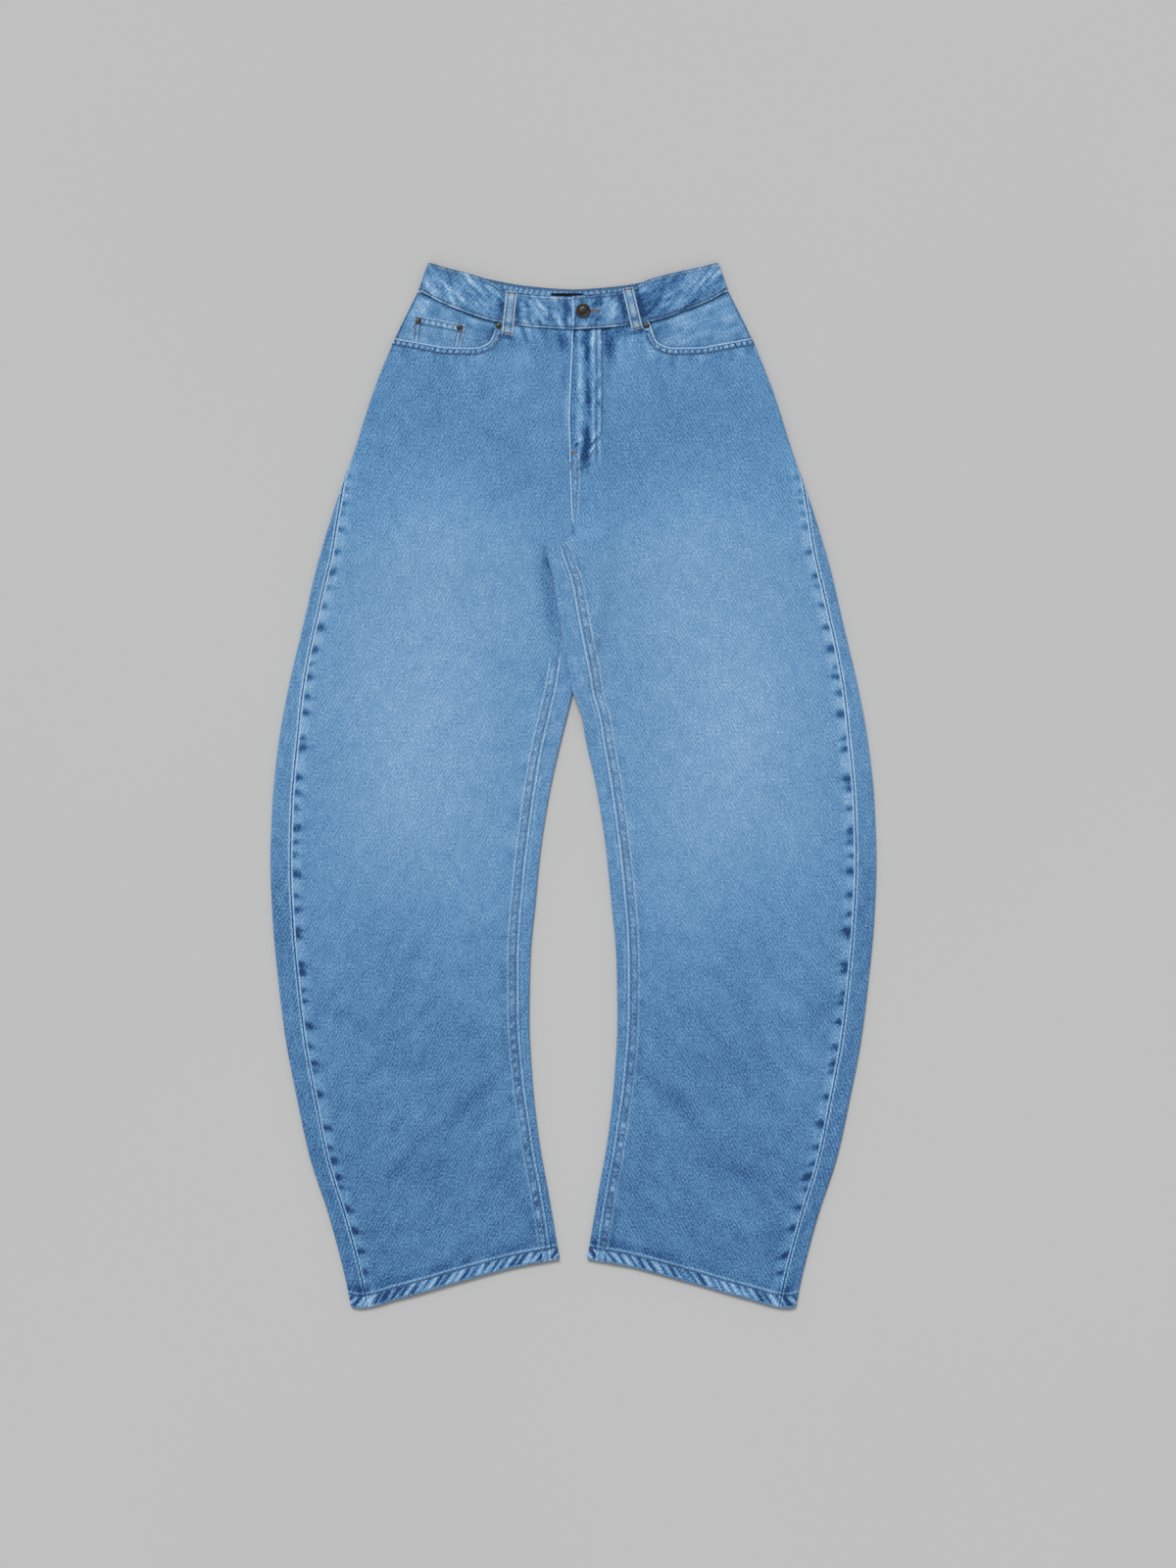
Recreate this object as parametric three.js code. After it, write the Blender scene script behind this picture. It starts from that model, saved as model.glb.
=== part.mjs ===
// Barrel leg trousers in washed denim, laid flat with the front up.
// Millimetres. X runs across, Y towards the waist and Z up from the surface they lie on.
// In the tables h is the height above the lowest point of the hems, and every distance
// across is measured from the centre line towards the leg's own side.
import * as THREE from 'three';

// Cloth and seams
const CLOTH = 1.0;
const SEAM_GAP = 0.3;
const HALF_GAP = SEAM_GAP / 2;
const WAIST_GAP = 0.7;
const BAND_CLOTH = 2.2;
const FELL_RELIEF = 0.7;
const FLY_RELIEF = 0.9;
const HEM_DEPTH = 13;
const HEM_RELIEF = 0.7;
const RELIEF_RUN = 1.2;

// Whole garment
const LENGTH = 1129;
const MIDDLE = LENGTH / 2;
const SEAT_LIFT = 1.4;
const SEAT_LIFT_ENDS = [767, 804];
const TORSO_HEIGHT = 4.9;
const LEG_HEIGHT = 4.5;
const LEG_STARTS = [790, 850];

// Waist
const WAIST_FOLD_HEIGHT = 6.0;
const BAND_TOP_CORNER = 157;
const BAND_BOTTOM_CORNER = 168;
const BAND_EDGE_EASE = 0.5;
const BAND_EDGE_RUN = 1.5;
const LAP_UNDER = 28;
const LAP_EDGE = 1;
const LAP_RAMP = [30, 52];
const LAP_RISE = BAND_CLOTH + SEAM_GAP;
const CENTRE_BACK_SHIFT = 6;
const CENTRE_BACK_STRAIGHT = 900;

// Pockets
const MOUTH_CORNER = 82.7;
const MOUTH_HEM = 7;
const MOUTH_RELIEF = 0.6;
const FACING_LOW = 3.7;
const FACING_HIGH = 5.0;
const FACING_RISE = [3, 12];
const FACING_TUCK = 12;
const FACING_INNER = 74;
const FACING_SIDE_CLEAR = [3.8, 1.9];
const FACING_SIDE_HEIGHTS = [1040, 1062];
const COIN_TUCK = 10;
const COIN_HEM = 9;
const COIN_RELIEF = 0.4;

// Overlap of the legs below the crotch
const OVERLAP_CLEAR = 0.5;
const OVERLAP_RAMP = 26;

// Colours
const DENIM = 0x6f9cc6;
const DENIM_DARK = 0x5a87b4;
const BRASS = 0xa8834a;
const GUNMETAL = 0x4a4742;
const LABEL = 0x2c2e33;

const RIGHT = { side: -1, over: false };
const LEFT = { side: 1, over: true };

// Half width of the garment at its outer fold, and how far the side seam lies from that
// fold along the cloth, on top.
const OUTER = [
  { h: 0, fold: 240, seam: 19 },
  { h: 36, fold: 247.5, seam: 19 },
  { h: 100, fold: 264.5, seam: 19 },
  { h: 163, fold: 285, seam: 20.5 },
  { h: 227, fold: 299, seam: 21.5 },
  { h: 290, fold: 311, seam: 22 },
  { h: 354, fold: 319, seam: 22.5 },
  { h: 418, fold: 325, seam: 23 },
  { h: 481, fold: 327.5, seam: 23 },
  { h: 545, fold: 325.4, seam: 22.5 },
  { h: 608, fold: 319, seam: 21.5 },
  { h: 672, fold: 307.5, seam: 17 },
  { h: 736, fold: 292.5, seam: 14.5 },
  { h: 799, fold: 277.7, seam: 14.5 },
  { h: 863, fold: 258.6, seam: 7 },
  { h: 905, fold: 244, seam: 0.5 },
  { h: 926, fold: 236.5, seam: 0 },
  { h: 990, fold: 216, seam: 0 },
  { h: 1047, fold: 193, seam: 0 },
  { h: 1098, fold: 168, seam: 0 },
];

// Inner fold of a leg, and how far the back panel comes round it on top to the inseam.
const LOWER_INNER = [
  { h: 53, fold: 15, wrap: 10 },
  { h: 121, fold: 26.5, wrap: 9 },
  { h: 184, fold: 37.5, wrap: 9 },
  { h: 248, fold: 44.5, wrap: 11 },
  { h: 312, fold: 47.7, wrap: 12.5 },
  { h: 375, fold: 46.6, wrap: 14 },
  { h: 439, fold: 41, wrap: 16 },
  { h: 502, fold: 34.5, wrap: 16 },
  { h: 566, fold: 24, wrap: 17.7 },
  { h: 610, fold: 14, wrap: 20 },
];
const UNDER_INNER = [
  ...LOWER_INNER,
  { h: 665, fold: 0.5, wrap: 20.5 },
  { h: 690, fold: -5, wrap: 21.7 },
  { h: 736, fold: -14, wrap: 25.7 },
  { h: 767, fold: -19, wrap: 26 },
  { h: 804, fold: -19, wrap: 20 },
  { h: 817, fold: -8, wrap: 9 },
  { h: 829, fold: 0, wrap: 0 },
];
const OVER_INNER = [
  ...LOWER_INNER,
  { h: 640, fold: 8.5, wrap: 20.5 },
  { h: 665, fold: -0.5, wrap: 22.4 },
  { h: 689, fold: -5, wrap: 23 },
  { h: 737, fold: -13.8, wrap: 22 },
  { h: 784, fold: -21, wrap: 17.5 },
  { h: 818, fold: -29.7, wrap: 16 },
  { h: 828, fold: -28.6, wrap: 11.6 },
  { h: 830.5, fold: -9, wrap: 5 },
  { h: 833, fold: 0.3, wrap: 3.2 },
  { h: 837, fold: 0.3, wrap: 1.6 },
  { h: 841, fold: 0.3, wrap: 0 },
];

// Raised strip beside the inseam, the rise seam and the fly, by its width and height.
const UNDER_STRIP = [
  { h: 0, width: 9.5, relief: FELL_RELIEF },
  { h: 680, width: 9.5, relief: FELL_RELIEF },
  { h: 719, width: 8, relief: 0 },
  { h: 841, width: 3.5, relief: 0 },
  { h: 862, width: 3.5, relief: 0.5 },
  { h: 1100, width: 3.5, relief: 0.5 },
];
const OVER_STRIP = [
  { h: 0, width: 9.5, relief: FELL_RELIEF },
  { h: 784, width: 9.5, relief: FELL_RELIEF },
  { h: 828, width: 8, relief: 0.4 },
  { h: 841, width: 3.5, relief: 0.5 },
  { h: 908, width: 3.5, relief: 0.5 },
  { h: 918, width: 14, relief: FLY_RELIEF },
  { h: 930, width: 25, relief: FLY_RELIEF },
  { h: 947, width: 30.4, relief: FLY_RELIEF },
  { h: 1100, width: 30.4, relief: FLY_RELIEF },
];

// How high the over leg is carried by the leg below it, as a share of the full step, and
// how far out that leg reaches.
const CARRY = [
  { h: 612, share: 0, edge: 22 },
  { h: 660, share: 1, edge: 5 },
  { h: 690, share: 1, edge: 11 },
  { h: 767, share: 1, edge: 26 },
  { h: 833, share: 1, edge: 26 },
  { h: 841, share: 0.4, edge: 26 },
  { h: 862, share: 0, edge: 26 },
];

// Edges that run across, as heights by the distance from the centre line.
const FRONT_WAIST_SEAM = [
  { a: 0, h: 1057 }, { a: 40, h: 1059.5 }, { a: 85, h: 1066 },
  { a: 125, h: 1079 }, { a: 168, h: 1098 }, { a: 200, h: 1112 },
];
const BACK_WAIST_SEAM = [
  { a: 0, h: 1066 }, { a: 45, h: 1070 }, { a: 92, h: 1077 },
  { a: 168, h: 1098 }, { a: 200, h: 1107 },
];
const BAND_FRONT_TOP = {
  right: [
    { a: -30, h: 1093.5 }, { a: 0, h: 1093 }, { a: 30, h: 1094 }, { a: 69, h: 1099 },
    { a: 92, h: 1111 }, { a: 157, h: 1129 },
  ],
  left: [
    { a: -5, h: 1093 }, { a: 20, h: 1095 }, { a: 53, h: 1099 }, { a: 84, h: 1112 },
    { a: 157, h: 1129 },
  ],
};
const BAND_BACK_TOP = [
  { a: -10, h: 1101 }, { a: 0, h: 1101 }, { a: 45, h: 1104 }, { a: 92, h: 1112 },
  { a: 157, h: 1129 },
];
const YOKE_SEAM = [{ a: -10, h: 994 }, { a: 0, h: 994 }, { a: 190, h: 1058 }, { a: 220, h: 1068 }];
const POCKET_MOUTH = [
  { a: 82.7, h: 1065.5 }, { a: 86, h: 1052 }, { a: 93, h: 1042.5 }, { a: 108, h: 1038 },
  { a: 135, h: 1038.5 }, { a: 160, h: 1042.5 }, { a: 193, h: 1048.5 },
];
const HEM_EDGE = [
  { a: 14.5, h: 53 }, { a: 59, h: 45 }, { a: 119, h: 29.5 }, { a: 190, h: 9.5 },
  { a: 232, h: 0 }, { a: 241, h: 2 },
];

// Rows of the panels below their shaped top edge, down to the start of the hem.
const UNDER_ROWS = [
  960, 908, 862, 841, 829, 817, 804, 767, 736, 719, 690, 665, 630, 566, 502, 439, 375,
  312, 248, 184, 121,
];
const OVER_ROWS = [
  975, 947, 930, 918, 908, 862, 841, 837, 833, 830.5, 828, 818, 784, 737, 689, 665, 640,
  610, 566, 502, 439, 375, 312, 248, 184, 121,
];
const FRONT_EXTRA_ROW = 1010;
const FRONT_SHARES = [0.19, 0.31, 0.4376, 0.455, 0.492, 0.571, 0.7, 0.85];
const BACK_SHARES = [0.22, 0.45, 0.7, 0.88];
const FOLD_STEPS = 4;
const MIN_STEP = 0.4;

// A smooth curve through a table's rows that never overshoots them.
function through(table, key, column) {
  const rows = [...table].sort((p, q) => p[key] - q[key]);
  const xs = rows.map((row) => row[key]);
  const ys = rows.map((row) => row[column]);
  const steps = xs.slice(1).map((x, i) => (ys[i + 1] - ys[i]) / (x - xs[i]));
  const slope = (i) => {
    if (i === 0) return steps[0];
    if (i === xs.length - 1) return steps[i - 1];
    const before = steps[i - 1];
    const after = steps[i];
    return before * after <= 0 ? 0 : (2 * before * after) / (before + after);
  };
  return (x) => {
    if (x <= xs[0]) return ys[0];
    const last = xs.length - 1;
    if (x >= xs[last]) return ys[last];
    const i = xs.findIndex((edge, k) => k < last && x < xs[k + 1]);
    const run = xs[i + 1] - xs[i];
    const t = (x - xs[i]) / run;
    const rise = ys[i + 1] - ys[i];
    const a = slope(i) * run - rise;
    const b = rise - slope(i + 1) * run;
    return ys[i] + t * rise + t * (1 - t) * (a * (1 - t) + b * t);
  };
}

// Straight lines between a table's rows.
function between(table, key, column) {
  return (x) => {
    const last = table.length - 1;
    if (x <= table[0][key]) return table[0][column];
    if (x >= table[last][key]) return table[last][column];
    const i = table.findIndex((row, k) => k < last && x < table[k + 1][key]);
    const t = (x - table[i][key]) / (table[i + 1][key] - table[i][key]);
    return THREE.MathUtils.lerp(table[i][column], table[i + 1][column], t);
  };
}

const ramp = (x, from, to) => THREE.MathUtils.clamp((x - from) / (to - from), 0, 1);

const outerFold = through(OUTER, 'h', 'fold');
const sideSeam = through(OUTER, 'h', 'seam');
const frontWaistCurve = through(FRONT_WAIST_SEAM, 'a', 'h');
const frontWaist = (a) => frontWaistCurve(Math.abs(a));
const backWaistCurve = through(BACK_WAIST_SEAM, 'a', 'h');
const backWaist = (a) => backWaistCurve(Math.abs(a));
const bandBackTop = through(BAND_BACK_TOP, 'a', 'h');
const yokeSeam = through(YOKE_SEAM, 'a', 'h');
const mouthEdge = through(POCKET_MOUTH, 'a', 'h');
const hemEdge = through(HEM_EDGE, 'a', 'h');
const carryShare = between(CARRY, 'h', 'share');
const carryEdge = between(CARRY, 'h', 'edge');

const height = (h) => THREE.MathUtils.lerp(LEG_HEIGHT, TORSO_HEIGHT, ramp(h, ...LEG_STARTS));
const seatLift = (h) => SEAT_LIFT * ramp(h, ...SEAT_LIFT_ENDS);
const centreBack = (leg, h) => leg.side * CENTRE_BACK_SHIFT * ramp(h, CENTRE_BACK_STRAIGHT, 1066);

for (const leg of [RIGHT, LEFT]) {
  const inner = leg.over ? OVER_INNER : UNDER_INNER;
  const strip = leg.over ? OVER_STRIP : UNDER_STRIP;
  leg.innerFold = through(inner, 'h', 'fold');
  leg.wrap = through(inner, 'h', 'wrap');
  leg.stripWidth = between(strip, 'h', 'width');
  leg.stripRelief = between(strip, 'h', 'relief');
  leg.rows = leg.over ? OVER_ROWS : UNDER_ROWS;
  leg.crotch = leg.over ? [841, 833] : [829, 804];
  leg.bandTop = through(BAND_FRONT_TOP[leg.over ? 'left' : 'right'], 'a', 'h');
}

// Lift of the cloth above the surface: over the back pockets, and over the other leg.
function lift(leg, a, h) {
  const seat = seatLift(h);
  if (!leg.over) return seat;
  const step = (height(h) + OVERLAP_CLEAR) * carryShare(h);
  const edge = Math.max(carryEdge(h), leg.innerFold(h) + height(h));
  return seat + step * (1 - ramp(a, edge, edge + OVERLAP_RAMP));
}

// How far the cloth has turned round the inner fold at its seamed end: none above the
// crotch, a quarter turn in it, and half a turn down the leg.
function innerTurn(leg, h) {
  return Math.PI * (1 - ramp(h, leg.crotch[1], leg.crotch[0]));
}

// A point at a distance along cloth that rolls through an angle and then runs straight.
function rolled(distance, turn, radius) {
  const onRoll = Math.min(distance, turn * radius);
  const angle = onRoll / radius;
  const rest = distance - onRoll;
  return {
    out: radius * Math.sin(angle) + rest * Math.cos(angle),
    up: radius * (1 - Math.cos(angle)) + rest * Math.sin(angle),
    normal: [Math.sin(angle), -Math.cos(angle)],
  };
}

// A place on a leg's outer skin, with its normal, as distance across and height.
function place(leg, a, z, h, normal) {
  return { leg, a, z: z + lift(leg, a, h), h, normal };
}

function onOuterFold(leg, distance, h) {
  const radius = height(h) / 2;
  const roll = rolled(distance, Math.PI, radius);
  return place(leg, outerFold(h) - radius + roll.out, roll.up, h, roll.normal);
}

function onInnerEnd(leg, distance, h) {
  const radius = height(h) / 2;
  const roll = rolled(distance, innerTurn(leg, h), radius);
  const a = innerStart(leg, h) - roll.out;
  return place(leg, a, roll.up, h, [-roll.normal[0], roll.normal[1]]);
}

function innerStart(leg, h) {
  const turn = innerTurn(leg, h);
  if (turn > 0) return leg.innerFold(h) + height(h) / 2;
  return centreBack(leg, h) + HALF_GAP + FOLD_STEPS + 2;
}

// Distances along the inner end of a back panel, at the stations of every row.
function innerDistances(leg, h) {
  const turn = innerTurn(leg, h);
  const radius = height(h) / 2;
  const roll = turn * radius;
  const steps = [];
  for (let i = 0; i <= FOLD_STEPS; i += 1) {
    steps.push(turn > 0 ? (roll * i) / FOLD_STEPS : i);
  }
  let straight = 2;
  if (turn > 0) straight = radius - SEAM_GAP;
  if (turn > Math.PI * 0.99) straight = Math.max(leg.wrap(h) - radius - HALF_GAP, 0.6);
  const end = steps[FOLD_STEPS];
  return [...steps, end + straight / 2, end + straight];
}

// Distances along the outer fold, from the side seam down to the underside.
function outerDistances(h) {
  const radius = height(h) / 2;
  const seam = (Math.PI * radius) / 2 + sideSeam(h) - HALF_GAP;
  const steps = [0];
  for (let i = 1; i <= FOLD_STEPS; i += 1) steps.push((Math.PI * radius * i) / FOLD_STEPS);
  steps.push((steps[FOLD_STEPS] + seam) / 2);
  const count = steps.length;
  const held = steps.map((step, i) => Math.min(step, seam - MIN_STEP * (count - i)));
  return [...held, seam].reverse();
}

function toPoint(spot, depth) {
  const [across, up] = spot.normal;
  const a = spot.a - across * depth;
  const z = spot.z - up * depth;
  return new THREE.Vector3(spot.leg.side * a, spot.h - MIDDLE, z);
}

// A closed wall from two grids of points, its outer and its inner skin.
function wall(outer, inner) {
  const rows = outer.length;
  const columns = outer[0].length;
  const positions = [...outer.flat(), ...inner.flat()].flatMap((p) => [p.x, p.y, p.z]);
  const skin = rows * columns;
  const at = (row, column, side) => row * columns + column + side * skin;
  const triangles = [];
  const quad = (a, b, c, d) => triangles.push(a, b, c, a, c, d);
  for (let r = 0; r + 1 < rows; r += 1) {
    for (let c = 0; c + 1 < columns; c += 1) {
      quad(at(r, c, 0), at(r, c + 1, 0), at(r + 1, c + 1, 0), at(r + 1, c, 0));
      quad(at(r, c, 1), at(r + 1, c, 1), at(r + 1, c + 1, 1), at(r, c + 1, 1));
    }
    quad(at(r, 0, 0), at(r + 1, 0, 0), at(r + 1, 0, 1), at(r, 0, 1));
    const end = columns - 1;
    quad(at(r, end, 0), at(r, end, 1), at(r + 1, end, 1), at(r + 1, end, 0));
  }
  for (let c = 0; c + 1 < columns; c += 1) {
    quad(at(0, c, 0), at(0, c, 1), at(0, c + 1, 1), at(0, c + 1, 0));
    const end = rows - 1;
    quad(at(end, c, 0), at(end, c + 1, 0), at(end, c + 1, 1), at(end, c, 1));
  }
  return facingOut(positions, triangles);
}

// The geometry of a closed skin, turned so that its faces point out.
function facingOut(positions, triangles) {
  const p = (i) => new THREE.Vector3().fromArray(positions, i * 3);
  let volume = 0;
  for (let i = 0; i < triangles.length; i += 3) {
    const [a, b, c] = [p(triangles[i]), p(triangles[i + 1]), p(triangles[i + 2])];
    volume += a.dot(b.cross(c));
  }
  const faces = volume > 0 ? triangles : [...triangles].reverse();
  const geometry = new THREE.BufferGeometry();
  geometry.setAttribute('position', new THREE.Float32BufferAttribute(positions, 3));
  geometry.setIndex(faces);
  geometry.computeVertexNormals();
  return geometry;
}

function cloth(color) {
  return new THREE.MeshStandardMaterial({ color, roughness: 0.9, metalness: 0 });
}

function metal(color) {
  return new THREE.MeshStandardMaterial({ color, roughness: 0.35, metalness: 0.9 });
}

function named(name, geometry, material) {
  const mesh = new THREE.Mesh(geometry, material);
  mesh.name = name;
  return mesh;
}

// The height of a shaped edge at a station whose distance across depends on the height.
function settle(edge, acrossAt, start) {
  let h = start;
  for (let i = 0; i < 8; i += 1) h = edge(acrossAt(h));
  return h;
}

const wallFrom = (grid, thickness = CLOTH) => {
  const outer = grid.map((row) => row.map((spot) => toPoint(spot, -(spot.relief ?? 0))));
  const inner = grid.map((row) => row.map((spot) => toPoint(spot, thickness)));
  return wall(outer, inner);
};

const frontTopEdge = (a) => (a < MOUTH_CORNER ? frontWaist(a) : mouthEdge(a)) - WAIST_GAP;

// The stations of a front panel, as a function of height: seam strip, panel, outer fold.
function frontStations(leg) {
  const seam = (h) => {
    const turned = innerTurn(leg, h) > 0;
    return turned ? leg.innerFold(h) + leg.wrap(h) + HALF_GAP : HALF_GAP;
  };
  const top = (acrossAt, relief, inMouth) => ({
    inMouth,
    spot: (h) => {
      const spot = place(leg, acrossAt(h), height(h), h, [0, 1]);
      return { ...spot, relief: relief(h) };
    },
  });
  const plain = () => 0;
  const foldTop = (h) => Math.PI * (height(h) / 2);
  const seamSide = (h) => foldTop(h) / 2 + sideSeam(h) + HALF_GAP;
  const fold = (angleShare, step) => ({
    inMouth: true,
    spot: (h) => {
      const distance = Math.max(foldTop(h) * angleShare, seamSide(h) + step * MIN_STEP);
      return { ...onOuterFold(leg, distance, h), relief: 0 };
    },
  });
  const flatEnd = (h) => onOuterFold(leg, Math.max(foldTop(h), seamSide(h) + 2 * MIN_STEP), h).a;
  const stations = [
    top(seam, leg.stripRelief, false),
    top((h) => seam(h) + leg.stripWidth(h) - RELIEF_RUN / 2, leg.stripRelief, false),
    top((h) => seam(h) + leg.stripWidth(h) + RELIEF_RUN / 2, plain, false),
  ];
  for (const share of FRONT_SHARES) {
    const across = (h) => THREE.MathUtils.lerp(seam(h), flatEnd(h), share);
    stations.push(top(across, plain, share > 0.45));
  }
  stations.push(fold(1, 2), fold(0.75, 1), fold(0, 0));
  return stations;
}

function frontPanel(leg) {
  const stations = frontStations(leg);
  const shaped = (drop, raised) => stations.map((station) => {
    const h = settle((a) => frontTopEdge(a), (at) => station.spot(at).a, 1050) - drop;
    const spot = station.spot(h);
    const mouth = raised && station.inMouth ? MOUTH_RELIEF : 0;
    return { ...spot, relief: Math.max(spot.relief, mouth) };
  });
  const straight = (h) => stations.map((station) => station.spot(h));
  const hem = (rise, relief) => stations.map((station) => {
    const h = settle((a) => hemEdge(a) + rise, (at) => station.spot(at).a, 30);
    const spot = station.spot(h);
    return { ...spot, relief: Math.max(spot.relief, relief) };
  });
  const grid = [
    shaped(0, true),
    shaped(MOUTH_HEM, true),
    shaped(MOUTH_HEM + RELIEF_RUN, false),
    straight(FRONT_EXTRA_ROW),
    ...leg.rows.map(straight),
    hem(HEM_DEPTH + RELIEF_RUN, 0),
    hem(HEM_DEPTH, HEM_RELIEF),
    hem(0, HEM_RELIEF),
  ];
  return wallFrom(grid);
}

// The stations of a back panel, round from the side seam to the inseam or centre back.
function backStations(leg) {
  const stations = [];
  const outerCount = FOLD_STEPS + 3;
  for (let i = 0; i < outerCount; i += 1) {
    stations.push((h) => onOuterFold(leg, outerDistances(h)[i], h));
  }
  const flat = (acrossAt) => (h) => place(leg, acrossAt(h), 0, h, [0, -1]);
  const outerEnd = (h) => outerFold(h) - height(h) / 2;
  const edge = (h) => {
    const carried = leg.over ? carryEdge(h) : 0;
    return Math.max(carried, innerStart(leg, h) + 1);
  };
  const rampEnd = (h) => edge(h) + OVERLAP_RAMP;
  for (const share of [...BACK_SHARES].reverse()) {
    stations.push(flat((h) => THREE.MathUtils.lerp(rampEnd(h), outerEnd(h), share)));
  }
  stations.push(flat(rampEnd), flat(edge));
  for (let i = 0; i <= FOLD_STEPS + 2; i += 1) {
    stations.push((h) => onInnerEnd(leg, innerDistances(leg, h)[i], h));
  }
  return stations;
}

function backPanel(leg) {
  const stations = backStations(leg);
  const along = (edge, start) => stations.map((spot) => spot(settle(edge, (h) => spot(h).a, start)));
  const straight = (h) => stations.map((spot) => spot(h));
  const hem = (rise) => along((a) => hemEdge(a) + rise, 30);
  const raised = (row) => row.map((spot) => {
    const onTop = spot.normal[1] > 0.5;
    return { ...spot, relief: onTop ? HEM_RELIEF : 0 };
  });
  const grid = [
    along((a) => yokeSeam(a) - HALF_GAP, 1030),
    ...leg.rows.map(straight),
    hem(HEM_DEPTH + RELIEF_RUN),
    raised(hem(HEM_DEPTH)),
    raised(hem(0)),
  ];
  return wallFrom(grid);
}

function yoke(leg) {
  const stations = backStations(leg);
  const along = (edge, start) => stations.map((spot) => spot(settle(edge, (h) => spot(h).a, start)));
  const low = along((a) => yokeSeam(a) + HALF_GAP, 1030);
  const high = along((a) => backWaist(a) - WAIST_GAP, 1080);
  return wallFrom([low, high]);
}

// One half of the waistband: from its front end round the side fold to centre back.
function waistband(leg) {
  const radius = WAIST_FOLD_HEIGHT / 2;
  const frontEnd = leg.over ? -LAP_EDGE : -LAP_UNDER;
  const backEnd = centreBack(leg, LENGTH) + HALF_GAP;
  const lapped = (a) => (leg.over ? LAP_RISE * (1 - ramp(a, ...LAP_RAMP)) : 0);
  const column = (frontShare, turn, backShare) => {
    const corner = (edgeCorner, edge) => {
      const from = turn === 0 ? frontEnd : backEnd;
      const share = turn === 0 ? frontShare : backShare;
      const flat = THREE.MathUtils.lerp(from, edgeCorner - radius, share);
      const a = flat + radius * Math.sin(turn);
      return { a, h: edge(flat + (share === 1 ? radius : 0)) };
    };
    const front = turn < Math.PI / 2;
    const low = corner(BAND_BOTTOM_CORNER, front ? frontWaist : backWaist);
    const high = corner(BAND_TOP_CORNER, front ? leg.bandTop : bandBackTop);
    const z = SEAT_LIFT + radius + radius * Math.cos(turn);
    const normal = [Math.sin(turn), Math.cos(turn)];
    return [low, high].map((end) => ({
      leg, a: end.a, h: end.h, normal, z: z + (front ? lapped(end.a) : 0),
    }));
  };
  const columns = [];
  const shares = leg.over ? [0, 0.1, 0.19, 0.33, 0.5, 0.7, 0.86, 1] : [0, 0.15, 0.3, 0.46, 0.6, 0.78, 1];
  for (const share of shares) columns.push(column(share, 0, share));
  for (const turn of [45, 90, 135]) columns.push(column(1, THREE.MathUtils.degToRad(turn), 1));
  for (const share of [1, 0.85, 0.7, 0.52, 0.35, 0.17, 0]) columns.push(column(1, Math.PI, share));
  const row = (fromLow, eased) => columns.map(([low, high]) => {
    const span = high.h - low.h - SEAM_GAP;
    const t = (HALF_GAP + Math.min(Math.max(fromLow * span, 0), span)) / (high.h - low.h);
    const mix = (key) => THREE.MathUtils.lerp(low[key], high[key], t);
    const relief = eased ? -BAND_EDGE_EASE : 0;
    return { leg, a: mix('a'), h: mix('h'), z: mix('z'), normal: low.normal, relief };
  });
  const run = BAND_EDGE_RUN / 35;
  return wallFrom([row(0, true), row(run, false), row(1 - run, false), row(1, true)], BAND_CLOTH);
}

const mouthOrWaist = (a) => (a < MOUTH_CORNER ? frontWaist(a) : mouthEdge(a));

function facingTop(a, h) {
  const above = h - mouthOrWaist(a);
  return THREE.MathUtils.lerp(FACING_LOW, FACING_HIGH, ramp(above, ...FACING_RISE));
}

function facingSpot(leg, a, h, raise) {
  return { leg, a, h, z: facingTop(a, h) + raise, normal: [0, 1] };
}

function pocketFacing(leg) {
  const shares = [0, 0.09, 0.13, 0.18, 0.35, 0.55, 0.78, 1];
  const columns = shares.map((share) => (h) => {
    const clear = THREE.MathUtils.lerp(...FACING_SIDE_CLEAR, ramp(h, ...FACING_SIDE_HEIGHTS));
    const side = outerFold(h) - clear;
    return THREE.MathUtils.lerp(FACING_INNER, side, share);
  });
  const low = (a) => mouthOrWaist(a) - FACING_TUCK;
  const high = (a) => frontWaist(a) - WAIST_GAP;
  const firstRise = (a) => Math.min(mouthOrWaist(a) + FACING_RISE[0], (low(a) + high(a)) / 2);
  const lastRise = (a) => {
    return Math.min(mouthOrWaist(a) + FACING_RISE[1], THREE.MathUtils.lerp(firstRise(a), high(a), 0.6));
  };
  const grid = [low, firstRise, lastRise, high].map((edge) => columns.map((across) => {
    const h = settle(edge, across, 1055);
    return facingSpot(leg, across(h), h, 0);
  }));
  return wallFrom(grid);
}

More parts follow.
